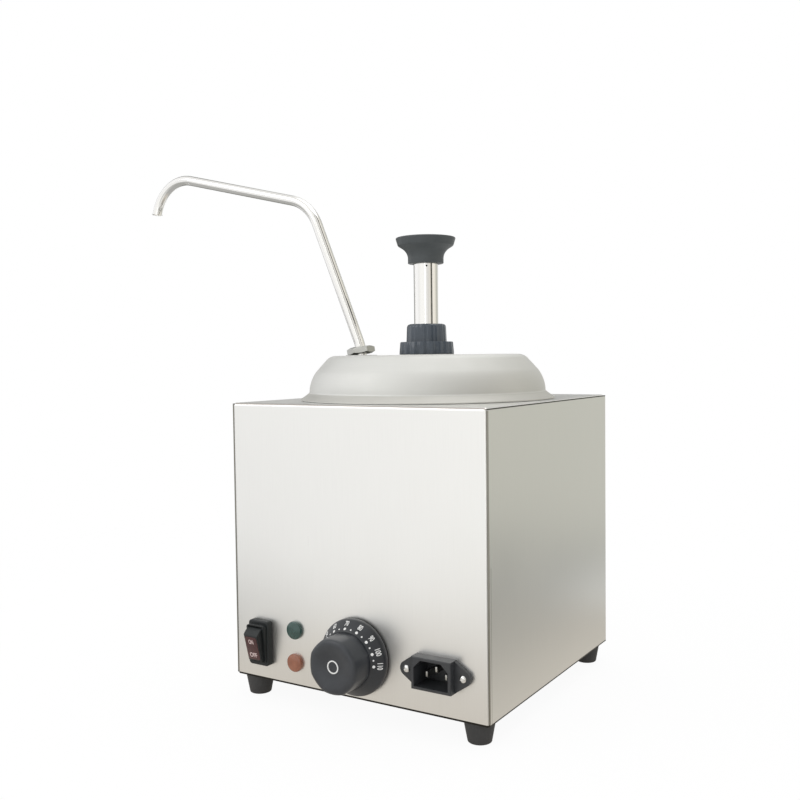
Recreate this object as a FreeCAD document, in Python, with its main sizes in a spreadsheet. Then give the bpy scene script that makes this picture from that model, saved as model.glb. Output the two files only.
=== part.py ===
"""A topping warmer with a hand pump: +Z up, front towards -Y, origin on the table below the pump."""

import FreeCAD, Part
import math
import os
import re
import Sketcher

# Driving sizes in millimetres and degrees
SIZES = {
    # casing
    "casing_wide": 200.0,
    "casing_deep": 200.0,
    "casing_tall": 192.0,
    "sheet_thick": 1.0,
    "bend_radius": 2.2,
    "fold_radius": 1.4,
    "side_flange": 12.0,
    "panel_margin": 0.6,
    "opening_gap": 3.0,
    "tray_gap": 0.3,
    "tray_flange": 8.0,
    "overrun": 1.0,
    # feet and their fasteners
    "foot_tall": 14.0,
    "foot_top_radius": 10.5,
    "foot_base_radius": 7.8,
    "foot_side_inset": 12.4,
    "foot_front_inset": 10.5,
    "foot_recess_radius": 4.6,
    "foot_recess_deep": 6.0,
    "foot_screw_radius": 2.0,
    "foot_head_radius": 3.8,
    "foot_head_tall": 2.4,
    "foot_screw_spare": 1.2,
    "hole_clearance": 0.2,
    "foot_nut_flats": 7.0,
    "foot_nut_tall": 3.2,
    "back_screw_radius": 1.5,
    "back_head_radius": 2.9,
    "back_head_tall": 1.6,
    "back_screw_long": 7.0,
    "back_screw_inset": 45.0,
    # water tank and heater
    "bath_gap": 7.0,
    "bath_room": 15.5,
    "tank_wall": 0.8,
    "tank_floor": 60.0,
    "tank_corner": 6.0,
    "tank_flange_wide": 7.0,
    "heater_radius": 48.0,
    "heater_tube": 3.2,
    "heater_rise": 4.4,
    "heater_bend": 6.0,
    "heater_lead_gap": 30.0,
    "heater_tail": 16.0,
    "heater_pin_radius": 1.6,
    "heater_pin_long": 7.0,
    "heater_nut_flats": 14.0,
    "heater_nut_tall": 5.0,
    "heater_washer_radius": 8.0,
    "heater_washer_tall": 1.5,
    # pot
    "seat_gap": 0.3,
    "pot_share": 0.375,
    "pot_wall": 0.8,
    "pot_corner": 8.0,
    "pot_rim_wide": 9.0,
    # lid
    "lid_tall": 32.0,
    "lid_thick": 0.8,
    "lid_overhang": 8.4,
    "lid_cone_in": 5.4,
    "lid_cone_rise": 4.7,
    "lid_side_in": 6.4,
    "lid_step_rise": 5.7,
    "lid_side_rise": 7.4,
    "lid_side_round": 20.6,
    "lid_shoulder_in": 12.9,
    "lid_shoulder_rise": 22.3,
    "lid_slope_in": 19.2,
    "lid_slope_rise": 29.2,
    "lid_top_round": 7.8,
    "lid_top_in": 24.9,
    # pump cylinder and collar
    "bore_radius": 12.8,
    "cylinder_wall": 1.2,
    "neck_radius": 15.0,
    "neck_clearance": 0.3,
    "neck_rise": 8.0,
    "cylinder_flange_radius": 19.0,
    "cylinder_flange_tall": 1.2,
    "gasket_radius": 19.9,
    "gasket_tall": 1.0,
    "collar_radius": 19.7,
    "collar_taper": 0.7,
    "collar_tall": 8.5,
    "collar_notches": 18,
    "collar_notch_radius": 1.6,
    "collar_notch_share": 0.97,
    "cap_radius": 14.7,
    "cap_taper": 0.5,
    "cap_tall": 13.0,
    "cap_round": 2.4,
    "cap_flutes": 18,
    "cap_flute_radius": 1.1,
    "cap_flute_share": 0.45,
    "thread_play": 0.05,
    "running_fit": 0.05,
    # valve body, balls and outlet
    "valve_radius": 15.5,
    "valve_lift": 4.5,
    "valve_tall": 26.0,
    "valve_foot_tall": 3.0,
    "valve_inlet_radius": 2.8,
    "valve_floor": 3.0,
    "ball_radius": 4.0,
    "ball_gap": 0.3,
    "ball_lift": 2.5,
    "ball_side_gap": 0.6,
    "cage_tall": 1.6,
    "cage_radius": 3.0,
    "valve_bore_radius": 9.0,
    "spigot_tall": 4.0,
    "outlet_rise": 18.5,
    "valve_boss_radius": 6.0,
    "valve_boss_long": 2.0,
    "outlet_arm_radius": 5.0,
    "outlet_radius": 6.4,
    "outlet_bore": 3.0,
    "outlet_ball_radius": 2.7,
    "outlet_seat_radius": 1.9,
    "outlet_chamber": 3.3,
    "outlet_drop": 7.0,
    "outlet_seat_rise": 5.0,
    "outlet_floor": 2.4,
    "outlet_stop_radius": 2.2,
    "outlet_stop_thick": 1.3,
    "tube_socket_deep": 8.0,
    "union_flats": 16.0,
    "union_tall": 7.0,
    # plunger
    "plunger_radius": 8.9,
    "plunger_wall": 1.0,
    "stroke": 40.0,
    "knob_clear": 3.9,
    "plunger_grip": 14.0,
    "vent_radius": 1.2,
    "vent_drop": 2.1,
    "vent_turn": -59.5,
    "piston_tall": 12.0,
    "piston_play": 0.35,
    "piston_clear": 2.5,
    "piston_plug": 9.0,
    "seal_wire": 1.15,
    "seal_groove_wide": 2.6,
    "seal_spacing": 5.0,
    "pin_radius": 1.2,
    "pin_long": 17.0,
    "spring_wire": 0.8,
    "spring_radius": 7.4,
    "spring_turns": 7,
    # plunger knob
    "knob_collar_radius": 13.0,
    "knob_collar_tall": 4.4,
    "knob_collar_chamfer": 0.6,
    "knob_flare_rise": 12.9,
    "knob_flare_radius": 20.3,
    "knob_flare_round": 11.5,
    "knob_rim_rise": 18.0,
    "knob_rim_radius": 22.0,
    "knob_edge_rise": 18.9,
    "knob_edge_radius": 20.9,
    "knob_edge_round": 1.2,
    "knob_tall": 19.5,
    # spout
    "spout_radius": 4.0,
    "spout_bore": 3.2,
    "spout_nut_lean": 9.0,
    "spout_leg_lean": 22.4,
    "spout_run_rise": 14.0,
    "spout_mouth_lean": 13.0,
    "spout_base_in": 8.3,
    "spout_base_rise": 40.5,
    "spout_leg_out": 45.9,
    "spout_run_out": 161.3,
    "spout_drop": 33.4,
    "spout_base_round": 30.0,
    "spout_knee_round": 36.0,
    "spout_end_round": 28.0,
    "spout_nut_flats": 18.6,
    "spout_nut_tall": 5.2,
    "spout_washer_radius": 10.8,
    "spout_washer_tall": 0.5,
    "spout_hole_play": 1.2,
    # thermostat and its dial
    "dial_room": 9.9,
    "dial_rise": 28.5,
    "skirt_share": 0.127,
    "skirt_gap": 0.6,
    "skirt_edge_tall": 4.4,
    "skirt_draft": 0.4,
    "skirt_wall": 2.0,
    "skirt_slope_in": 6.6,
    "skirt_top_tall": 11.4,
    "grip_in": 0.5,
    "grip_waist_in": 0.7,
    "grip_tall": 16.6,
    "grip_round": 2.6,
    "grip_dish": 2.0,
    "grip_flats_in": 1.0,
    "grip_flat_round": 45.0,
    "grip_dish_round": 60.0,
    "grip_sides": 8,
    "boss_ring_radius": 3.6,
    "boss_ring_wide": 0.7,
    "boss_ring_tall": 0.4,
    "spindle_radius": 3.0,
    "spindle_flat": 0.8,
    "stat_bush_radius": 4.6,
    "stat_bush_show": 4.0,
    "spindle_show": 24.0,
    "spindle_inside": 8.0,
    "stat_wide": 36.0,
    "stat_tall": 38.0,
    "stat_deep": 30.0,
    "stat_corner": 4.0,
    "stat_screw_radius": 2.0,
    "stat_screw_pitch": 28.0,
    "stat_head_radius": 3.4,
    "stat_head_tall": 1.8,
    "stat_screw_long": 6.0,
    "stat_tab_wide": 6.3,
    "stat_tab_thick": 0.8,
    "stat_tab_long": 8.0,
    "stat_tab_gap": 16.0,
    "capillary_radius": 1.0,
    "bulb_radius": 3.0,
    "bulb_long": 70.0,
    "bulb_back": 22.0,
    "capillary_round": 8.0,
    "capillary_off": 12.0,
    "capillary_run": 24.0,
    "capillary_side": 55.0,
    "clip_wide": 8.0,
    "clip_thick": 0.8,
    "clip_spread": 44.0,
    "clip_ear": 7.0,
    # thermal cut-out
    "cutout_across": -36.0,
    "cutout_back": 26.0,
    "cutout_radius": 8.0,
    "cutout_tall": 9.0,
    "cutout_plate_thick": 1.0,
    "cutout_stud_pitch": 24.0,
    "cutout_stud_radius": 1.5,
    "cutout_nut_flats": 5.5,
    "cutout_nut_tall": 2.4,
    "cutout_ear_wide": 9.0,
    # pilot lamps
    "lamp_share": 0.2345,
    "green_rise": 38.3,
    "red_rise": 16.0,
    "lens_radius": 6.6,
    "lens_edge_tall": 2.2,
    "lens_tall": 3.2,
    "lens_stem_radius": 5.4,
    "lamp_hole_radius": 5.7,
    "lamp_body_radius": 5.4,
    "lamp_body_long": 18.0,
    "lamp_clip_radius": 7.6,
    "lamp_clip_thick": 1.2,
    "lamp_lead_radius": 0.6,
    "lamp_lead_long": 6.0,
    "lamp_lead_gap": 4.0,
    # rocker switch
    "switch_side_room": 24.2,
    "switch_rise": 26.3,
    "bezel_wide": 17.4,
    "bezel_tall": 31.0,
    "bezel_deep": 5.0,
    "bezel_corner": 2.4,
    "bezel_edge": 0.9,
    "hood_wide": 15.0,
    "hood_tall": 26.4,
    "hood_deep": 8.6,
    "hood_corner": 2.0,
    "switch_slot_wide": 12.3,
    "switch_slot_tall": 25.0,
    "switch_body_wide": 13.6,
    "switch_body_tall": 28.0,
    "switch_body_deep": 19.0,
    "switch_floor": 3.0,
    "paddle_wide": 11.9,
    "paddle_play": 0.15,
    "paddle_face": 8.0,
    "paddle_root": 5.2,
    "paddle_hip": 4.4,
    "paddle_pivot": 3.4,
    "paddle_tilt": 15.0,
    "face_margin": 0.7,
    "face_sink": 0.5,
    "face_proud": 0.25,
    "face_corner": 1.2,
    "trunnion_radius": 1.4,
    "trunnion_long": 1.0,
    "switch_tab_wide": 4.8,
    "switch_tab_thick": 0.8,
    "switch_tab_long": 8.0,
    "switch_tab_gap": 8.5,
    # mains inlet
    "inlet_side_room": 36.4,
    "inlet_rise": 27.8,
    "inlet_screw_pitch": 40.0,
    "inlet_ear_radius": 4.9,
    "inlet_ear_angle": 56.0,
    "inlet_ear_thick": 3.0,
    "inlet_shroud_wide": 28.0,
    "inlet_shroud_tall": 20.4,
    "inlet_shroud_deep": 8.0,
    "inlet_shroud_edge": 0.6,
    "inlet_body_wide": 26.6,
    "inlet_body_tall": 19.0,
    "inlet_body_deep": 15.0,
    "inlet_mouth_wide": 24.2,
    "inlet_mouth_tall": 16.6,
    "inlet_mouth_chamfer": 4.8,
    "inlet_mouth_deep": 17.0,
    "pin_wide": 2.0,
    "pin_tall": 4.0,
    "pin_pitch": 14.0,
    "pin_offset": 2.0,
    "pin_sink": 1.5,
    "pin_tail": 9.0,
    "inlet_screw_radius": 1.6,
    "inlet_head_radius": 2.9,
    "inlet_head_tall": 1.7,
    "inlet_screw_long": 9.0,
    "inlet_nut_flats": 5.5,
    "inlet_nut_tall": 2.4,
    # earth stud
    "stud_side_room": 34.0,
    "stud_back_room": 42.0,
    "stud_radius": 2.0,
    "stud_tall": 12.0,
    "stud_nut_flats": 7.0,
    "stud_nut_tall": 3.2,
    "stud_nut_rise": 2.0,
}

# Places that follow from the driving sizes
PLACES = {
    "casing_base": "foot_tall",
    "casing_top": "foot_tall + casing_tall",
    "wrap_half": "casing_wide / 2 - sheet_thick",
    "front_out": "casing_deep / 2",
    "floor_top": "casing_base + sheet_thick",
    "small_side": "min(casing_wide; casing_deep)",
    "foot_across": "casing_wide / 2 - foot_side_inset",
    "foot_back": "casing_deep / 2 - foot_front_inset",
    "tank_base": "casing_base + tank_floor",
    "tank_inside": "tank_base + tank_wall",
    "pot_radius": "pot_share * small_side",
    "pot_opening": "pot_radius + opening_gap",
    "pot_rim_radius": "pot_radius + pot_rim_wide",
    "tank_radius": "pot_radius + bath_gap",
    "tank_flange_radius": "tank_radius + tank_flange_wide",
    "foot_screw_reach": "floor_top + foot_nut_tall + foot_screw_spare - foot_recess_deep",
    "back_screw_across": "casing_wide / 2 - back_screw_inset",
    "back_screw_up": "casing_base + tray_flange / 2",
    "lead_across": "heater_lead_gap / 2",
    "lead_back": "sqrt(heater_radius^2 + heater_bend^2 - lead_across^2)",
    "under_top": "casing_top - sheet_thick",
    "heater_level": "tank_inside + heater_rise + heater_tube",
    "seat": "casing_top + seat_gap",
    "pot_base": "tank_inside + bath_room",
    "pot_floor": "pot_base + pot_wall",
    "lid_top": "casing_top + lid_tall",
    "lid_under": "lid_top - lid_thick",
    "lid_edge_radius": "pot_rim_radius + lid_overhang",
    "lid_cone_radius": "lid_edge_radius - lid_cone_in",
    "lid_side_radius": "lid_edge_radius - lid_side_in",
    "lid_shoulder_radius": "lid_edge_radius - lid_shoulder_in",
    "lid_slope_radius": "lid_edge_radius - lid_slope_in",
    "lid_top_radius": "lid_edge_radius - lid_top_in",
    "cylinder_outer": "bore_radius + cylinder_wall",
    "valve_base": "pot_floor + valve_lift",
    "valve_top": "valve_base + valve_tall",
    "ball_seat": "valve_base + valve_floor",
    "ball_centre": "ball_seat + sqrt(ball_radius^2 - valve_inlet_radius^2) + ball_gap",
    "cage_base": "ball_centre + ball_radius + ball_lift + ball_gap",
    "cage_top": "cage_base + cage_tall",
    "neck_top": "lid_top + neck_rise",
    "collar_base": "lid_top + gasket_tall",
    "cap_base": "collar_base + collar_tall",
    "cap_top": "cap_base + cap_tall",
    "knob_base": "cap_top + stroke + knob_clear",
    "piston_base": "valve_top + spigot_tall + piston_clear + stroke",
    "piston_top": "piston_base + piston_tall",
    "piston_radius": "bore_radius - piston_play",
    "seal_ring": "bore_radius - running_fit - seal_wire",
    "seal_floor": "seal_ring - seal_wire",
    "lower_seal_up": "piston_base + (piston_tall - seal_spacing) / 2",
    "upper_seal_up": "lower_seal_up + seal_spacing",
    "knob_crown": "knob_tall - knob_edge_rise",
    "knob_dome": "(knob_edge_radius^2 + knob_crown^2) / (2 * knob_crown)",
    "spout_base_out": "lid_top_radius - spout_base_in",
    "spout_base_up": "casing_top + spout_base_rise",
    "spout_knee_out": "spout_base_out + spout_leg_out",
    "spout_end_out": "spout_knee_out + spout_run_out",
    "spout_knee_up": "spout_base_up + spout_leg_out / tan(spout_leg_lean)",
    "spout_end_up": "spout_knee_up + spout_run_out * tan(spout_run_rise)",
    "spout_mouth_up": "spout_end_up - spout_drop",
    "spout_mouth_out": "spout_end_out + spout_drop * tan(spout_mouth_lean)",
    "spout_hole_out": "spout_base_out - (spout_base_up - lid_top) * tan(spout_nut_lean)",
    "outlet_level": "valve_base + outlet_rise",
    "outlet_out": "spout_base_out - (spout_base_up - outlet_level) * tan(spout_nut_lean)",
    "spout_hole_radius": "spout_radius + spout_hole_play",
    "outlet_ball_rise": "outlet_seat_rise + sqrt(outlet_ball_radius^2 - outlet_seat_radius^2) + ball_gap",
    "stop_base": "outlet_ball_rise + outlet_ball_radius + ball_lift + ball_gap",
    "socket_base": "stop_base + outlet_stop_thick",
    "tower_top": "socket_base + tube_socket_deep",
    "spout_nut_drop": "spout_nut_flats / sqrt(3) * sin(spout_nut_lean)",
    "spout_nut_up": "lid_top + spout_washer_tall + spout_nut_drop",
    "spout_nut_along": "(spout_nut_up - outlet_level) / cos(spout_nut_lean)",
    "paddle_round": "switch_slot_tall / 2 - paddle_play",
    "paddle_half": "sqrt(paddle_round^2 - paddle_face^2)",
    "inlet_across": "casing_wide / 2 - inlet_side_room",
    "inlet_left": "inlet_across - inlet_screw_pitch / 2 - inlet_ear_radius",
    "dial_across": "inlet_left - dial_room - skirt_radius",
    "dial_up": "casing_base + dial_rise",
    "skirt_radius": "skirt_share * small_side",
    "skirt_top_radius": "skirt_radius - skirt_slope_in",
    "grip_radius": "skirt_top_radius - grip_in",
    "grip_waist": "grip_radius - grip_waist_in",
    "grip_flats": "grip_radius - grip_flats_in",
    "lamp_across": "-lamp_share * casing_wide",
    "switch_across": "switch_side_room - casing_wide / 2",
    "grip_top": "skirt_top_tall + grip_tall",
    "grip_flat_half": "grip_radius * tan(180 / grip_sides)",
    "grip_flat_sag": "grip_flat_round - sqrt(grip_flat_round^2 - grip_flat_half^2)",
    "lens_crown": "lens_tall - lens_edge_tall",
    "lens_dome": "(lens_radius^2 + lens_crown^2) / (2 * lens_crown)",
    "ear_reach": "inlet_screw_pitch / 2 + inlet_ear_radius * cos(inlet_ear_angle)",
    "ear_half": "inlet_ear_radius * sin(inlet_ear_angle)",
    "ear_shoulder": "ear_reach - (inlet_shroud_tall / 2 - ear_half) * tan(inlet_ear_angle)",
    "green_up": "casing_base + green_rise",
    "red_up": "casing_base + red_rise",
    "switch_up": "casing_base + switch_rise",
    "inlet_up": "casing_base + inlet_rise",
    "panel_inside": "front_out - sheet_thick",
    "capillary_turn_back": "panel_inside - stat_deep - capillary_run",
    "stud_across": "casing_wide / 2 - stud_side_room",
    "stud_back": "casing_deep / 2 - stud_back_room",
}

doc = FreeCAD.newDocument("ToppingWarmer")
sheet = doc.addObject("Spreadsheet::Sheet", "Sizes")
for row, (alias, number) in enumerate(SIZES.items(), start=1):
    sheet.set(f"A{row}", alias)
    sheet.set(f"B{row}", str(number))
    sheet.setAlias(f"B{row}", alias)
doc.recompute()

nodes = []
cuts = []
WORD = re.compile(r"[a-z][a-z_]*")


def full(text):
    """Spells a formula out in cells of the sheet."""

    def cell(found):
        word = found.group()
        if word in PLACES:
            return "(" + full(PLACES[word]) + ")"
        return "Sizes." + word if word in SIZES else word

    return WORD.sub(cell, str(text))


def size(text):
    """Gives a formula's value at the sizes in the sheet."""
    return float(sheet.evalExpression(full(text)))


def bind(thing, name, text):
    """Ties a property to a formula."""
    thing.setExpression(name, full(text))


def new_body(node):
    """Starts a piece that is built from sketches."""
    body = doc.addObject("PartDesign::Body", node)
    body.Label = node
    body.AllowCompound = True
    nodes.append(body)
    return body


def place(piece, across=0, back=0, up=0, axis=(1, 0, 0), turn=0):
    """Turns a piece about an axis and moves it to its place."""
    piece.Placement = FreeCAD.Placement(FreeCAD.Vector(), FreeCAD.Rotation(FreeCAD.Vector(*axis), 1))
    bind(piece, "Placement.Rotation.Angle", turn)
    for letter, text in zip("xyz", (across, back, up)):
        bind(piece, f"Placement.Base.{letter}", text)


def on_panel(piece, across, up):
    """Places a piece on the front panel: its own +Z points out of the panel, its +Y up."""
    place(piece, across, "-front_out", up, turn=90)


def new_sketch(body, role="XY_Plane", level=0):
    """Starts a sketch on one of the body's planes, or at a level above it."""
    sketch = body.newObject("Sketcher::SketchObject", f"{body.Name}_sketch")
    plane = next(flat for flat in body.Origin.OriginFeatures if flat.Role == role)
    sketch.AttachmentSupport = [(plane, "")]
    sketch.MapMode = "FlatFace"
    bind(sketch, "AttachmentOffset.Base.z", level)
    return sketch


def hold(sketch, kind, text, *where):
    """Adds a constraint that a formula drives."""
    index = sketch.addConstraint(Sketcher.Constraint(kind, *where, size(text)))
    bind(sketch, f"Constraints[{index}]", text)


def fix(sketch, shape, point, across, up):
    """Fixes one point of a sketched shape at its distances from the sketch's origin."""
    hold(sketch, "DistanceX", across, -1, 1, shape, point)
    hold(sketch, "DistanceY", up, -1, 1, shape, point)


def vector(across, up):
    return FreeCAD.Vector(size(across), size(up), 0)


def arc_between(start, end, radius, side):
    """Makes the short arc from start to end, its centre left (1) or right (-1) of the way."""
    chord = end - start
    left = FreeCAD.Vector(-chord.y, chord.x, 0).normalize()
    centre = (start + end) / 2 + left * side * math.sqrt(radius**2 - (chord.Length / 2) ** 2)
    angles = [math.atan2(point.y - centre.y, point.x - centre.x) for point in (start, end)]
    circle = Part.Circle(centre, FreeCAD.Vector(0, 0, 1), radius)
    return Part.ArcOfCircle(circle, *angles[::side])


def outline(sketch, corners):
    """Draws a closed outline. A corner is (across, up), or has the radius of an arc and its side too."""
    places = [vector(*corner[:2]) for corner in corners]
    shapes = []
    ends = []
    for number, corner in enumerate(corners):
        start, end = places[number], places[(number + 1) % len(corners)]
        if len(corner) == 2:
            shapes.append(sketch.addGeometry(Part.LineSegment(start, end), False))
            ends.append((1, 2))
            continue
        radius, side = corner[2:]
        shapes.append(sketch.addGeometry(arc_between(start, end, size(radius), side), False))
        ends.append((1, 2) if side > 0 else (2, 1))
    for number, corner in enumerate(corners):
        after = (number + 1) % len(corners)
        joint = shapes[number], ends[number][1], shapes[after], ends[after][0]
        sketch.addConstraint(Sketcher.Constraint("Coincident", *joint))
        fix(sketch, shapes[number], ends[number][0], *corner[:2])
        if len(corner) > 2:
            hold(sketch, "Radius", corner[2], shapes[number])


def rectangle(sketch, across, up, wide, tall):
    """Draws a rectangle about its centre."""
    left, right = f"{across} - ({wide}) / 2", f"{across} + ({wide}) / 2"
    low, high = f"{up} - ({tall}) / 2", f"{up} + ({tall}) / 2"
    outline(sketch, [(left, low), (right, low), (right, high), (left, high)])


def hexagon(sketch, across, up, flats):
    """Draws a hexagon by the distance between its flats, with corners to the left and right."""
    ways = [(math.cos(math.radians(60 * n)), math.sin(math.radians(60 * n))) for n in range(6)]
    reach = f"{flats} / sqrt(3)"
    outline(sketch, [(f"{across} + {reach} * {x:.9f}", f"{up} + {reach} * {y:.9f}") for x, y in ways])


def circle(sketch, across, up, radius):
    """Draws a circle."""
    ring = Part.Circle(vector(across, up), FreeCAD.Vector(0, 0, 1), size(radius))
    shape = sketch.addGeometry(ring, False)
    fix(sketch, shape, 3, across, up)
    hold(sketch, "Radius", radius, shape)


def bent_line(sketch, corners):
    """Draws an open line through corners, each one between the ends rounded with its own radius."""
    places = [vector(*corner[:2]) for corner in corners]
    entries = [places[0]]
    leaves = []
    for before, corner, after, entry in zip(places, places[1:], places[2:], corners[1:]):
        into, out = (corner - before).normalize(), (after - corner).normalize()
        reach = size(entry[2]) * math.tan(into.getAngle(out) / 2)
        leaves.append(corner - into * reach)
        entries.append(corner + out * reach)
    leaves.append(places[-1])
    lines = [sketch.addGeometry(Part.LineSegment(*run), False) for run in zip(entries, leaves)]
    for number, corner in enumerate(corners[1:-1]):
        into = places[number + 1] - places[number]
        out = places[number + 2] - places[number + 1]
        side = 1 if into.cross(out).z > 0 else -1
        bend = arc_between(leaves[number], entries[number + 1], size(corner[2]), side)
        arc = sketch.addGeometry(bend, False)
        first, last = (1, 2) if side > 0 else (2, 1)
        point = sketch.addGeometry(Part.Point(places[number + 1]), True)
        fix(sketch, point, 1, *corner[:2])
        for line in lines[number : number + 2]:
            sketch.addConstraint(Sketcher.Constraint("PointOnObject", point, 1, line))
        sketch.addConstraint(Sketcher.Constraint("Tangent", lines[number], 2, arc, first))
        sketch.addConstraint(Sketcher.Constraint("Tangent", arc, last, lines[number + 1], 1))
        hold(sketch, "Radius", corner[2], arc)
    fix(sketch, lines[0], 1, *corners[0][:2])
    fix(sketch, lines[-1], 2, *corners[-1][:2])


def pad(sketch, long, both=False, back=False):
    """Adds a sketch's shape along its normal, back along it, or half to each side."""
    body = sketch.getParentGeoFeatureGroup()
    feature = body.newObject("PartDesign::Pad", f"{body.Name}_pad")
    feature.Profile = sketch
    feature.SideType = "Symmetric" if both else "One side"
    feature.Reversed = back
    bind(feature, "Length", long)
    return feature


def pocket(sketch, deep, both=False, back=False):
    """Cuts a sketch's shape against its normal, back along it, or half to each side."""
    body = sketch.getParentGeoFeatureGroup()
    feature = body.newObject("PartDesign::Pocket", f"{body.Name}_pocket")
    feature.Profile = sketch
    feature.SideType = "Symmetric" if both else "One side"
    feature.Reversed = back
    bind(feature, "Length", deep)
    cuts.append(feature)
    return feature


def spin(sketch):
    """Turns a sketch's shape about its own upright axis."""
    body = sketch.getParentGeoFeatureGroup()
    feature = body.newObject("PartDesign::Revolution", f"{body.Name}_turned")
    feature.Profile = sketch
    feature.ReferenceAxis = (sketch, ["V_Axis"])
    feature.Angle = 360
    return feature


def turned(node, corners):
    """Makes a piece by turning an outline of radii and heights."""
    body = new_body(node)
    sketch = new_sketch(body, "XZ_Plane")
    outline(sketch, corners)
    spin(sketch)
    return body


def around(feature, count):
    """Repeats a cut about the axis of its sketch."""
    body = feature.getParentGeoFeatureGroup()
    pattern = body.newObject("PartDesign::PolarPattern", f"{body.Name}_pattern")
    pattern.Originals = [feature]
    pattern.Axis = (feature.Profile[0], ["N_Axis"])
    pattern.Angle = 360
    bind(pattern, "Occurrences", count)
    body.Tip = pattern


def rounded(body, radius, choose, kind="Fillet"):
    """Rounds or bevels the edges that choose picks by their middle point and direction."""
    doc.recompute()
    tip = body.Tip
    names = []
    for number, edge in enumerate(tip.Shape.Edges, start=1):
        middle = edge.valueAt((edge.FirstParameter + edge.LastParameter) / 2)
        along = edge.tangentAt((edge.FirstParameter + edge.LastParameter) / 2)
        if choose(middle, along, edge):
            names.append(f"Edge{number}")
    feature = body.newObject(f"PartDesign::{kind}", f"{body.Name}_{kind.lower()}")
    feature.Base = (tip, names)
    bind(feature, "Radius" if kind == "Fillet" else "Size", radius)


def upright(level_low, level_high):
    """Picks straight edges along +Z whose middle lies between two heights."""

    def choose(middle, along, edge):
        straight = isinstance(edge.Curve, Part.Line) and abs(along.z) > 0.999
        return straight and size(level_low) < middle.z < size(level_high)

    return choose


def corners_of(across, up):
    """Gives the four places at plus and minus a distance across and up."""
    return [(f"{x} * ({across})", f"{y} * ({up})") for x in (-1, 1) for y in (-1, 1)]


# Casing: one folded sheet makes the front, the top and the back

wrap = new_body("casing_wrap")
sketch = new_sketch(wrap, "YZ_Plane")
outline(sketch, [
    ("-front_out", "casing_base"),
    ("-front_out", "casing_top - bend_radius", "bend_radius", -1),
    ("-front_out + bend_radius", "casing_top"),
    ("front_out - bend_radius", "casing_top", "bend_radius", -1),
    ("front_out", "casing_top - bend_radius"),
    ("front_out", "casing_base"),
    ("front_out - side_flange", "casing_base"),
    ("front_out - side_flange", "casing_top - side_flange"),
    ("-front_out + side_flange", "casing_top - side_flange"),
    ("-front_out + side_flange", "casing_base"),
])
pad(sketch, "2 * wrap_half", both=True)
sketch = new_sketch(wrap, "YZ_Plane")
outline(sketch, [
    ("-panel_inside", "casing_base - overrun"),
    ("-panel_inside", "casing_top - bend_radius", "bend_radius - sheet_thick", -1),
    ("-front_out + bend_radius", "under_top"),
    ("front_out - bend_radius", "under_top", "bend_radius - sheet_thick", -1),
    ("panel_inside", "casing_top - bend_radius"),
    ("panel_inside", "casing_base - overrun"),
])
pocket(sketch, "2 * (wrap_half - sheet_thick)", both=True)
sketch = new_sketch(wrap, "XY_Plane", "casing_top + overrun")
circle(sketch, 0, 0, "pot_opening")
pocket(sketch, "sheet_thick + 2 * overrun")

# Cut-outs of the front panel for the controls
sketch = new_sketch(wrap, "XZ_Plane", "front_out + overrun")
circle(sketch, "dial_across", "dial_up", "stat_bush_radius + hole_clearance")
for side in (-1, 1):
    screw = f"dial_across + {side} * stat_screw_pitch / 2"
    circle(sketch, screw, "dial_up", "stat_screw_radius + hole_clearance")
    screw = f"inlet_across + {side} * inlet_screw_pitch / 2"
    circle(sketch, screw, "inlet_up", "inlet_screw_radius + hole_clearance")
circle(sketch, "lamp_across", "green_up", "lamp_hole_radius")
circle(sketch, "lamp_across", "red_up", "lamp_hole_radius")
play = "2 * hole_clearance"
rectangle(sketch, "switch_across", "switch_up", f"switch_body_wide + {play}", f"switch_body_tall + {play}")
rectangle(sketch, "inlet_across", "inlet_up", f"inlet_body_wide + {play}", f"inlet_body_tall + {play}")
pocket(sketch, "sheet_thick + 2 * overrun")

# Screw holes of the back wall
sketch = new_sketch(wrap, "XZ_Plane", "-front_out - overrun")
for side in (-1, 1):
    circle(sketch, f"{side} * back_screw_across", "back_screw_up", "back_screw_radius + hole_clearance")
pocket(sketch, "sheet_thick + 2 * overrun", back=True)


def folded_edge(middle, along, edge):
    """Picks the outer edges between the wrap and its side flanges."""
    outer = abs(middle.y) > size("front_out - bend_radius") or middle.z > size("casing_top - bend_radius")
    level = edge.BoundBox.ZMax > size("casing_base + bend_radius")
    return outer and level and abs(abs(middle.x) - size("wrap_half")) < size("seat_gap")


rounded(wrap, "fold_radius", folded_edge)

for node, side in (("right_side_panel", 1), ("left_side_panel", -1)):
    panel = new_body(node)
    sketch = new_sketch(panel, "YZ_Plane", f"{side} * wrap_half")
    low, high = "casing_base + panel_margin", "casing_top - panel_margin"
    front, back = "-front_out + panel_margin", "front_out - panel_margin"
    outline(sketch, [(front, low), (back, low), (back, high), (front, high)])
    pad(sketch, "sheet_thick", back=side < 0)

# The base is a tray whose front and back edges are folded up against the wrap
base = new_body("base_plate")
sketch = new_sketch(base, "YZ_Plane")
outline(sketch, [
    ("-panel_inside", "casing_base"),
    ("panel_inside", "casing_base"),
    ("panel_inside", "casing_base + tray_flange"),
    ("panel_inside - sheet_thick", "casing_base + tray_flange"),
    ("panel_inside - sheet_thick", "floor_top"),
    ("-panel_inside + sheet_thick", "floor_top"),
    ("-panel_inside + sheet_thick", "casing_base + tray_flange"),
    ("-panel_inside", "casing_base + tray_flange"),
])
pad(sketch, "2 * (wrap_half - sheet_thick - tray_gap)", both=True)
sketch = new_sketch(base, "XY_Plane", "floor_top + overrun")
for across, back in corners_of("foot_across", "foot_back"):
    circle(sketch, across, back, "foot_screw_radius + hole_clearance")
pocket(sketch, "sheet_thick + 2 * overrun")
sketch = new_sketch(base, "XZ_Plane", "-front_out")
for side in (-1, 1):
    circle(sketch, f"{side} * back_screw_across", "back_screw_up", "back_screw_radius")
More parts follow.
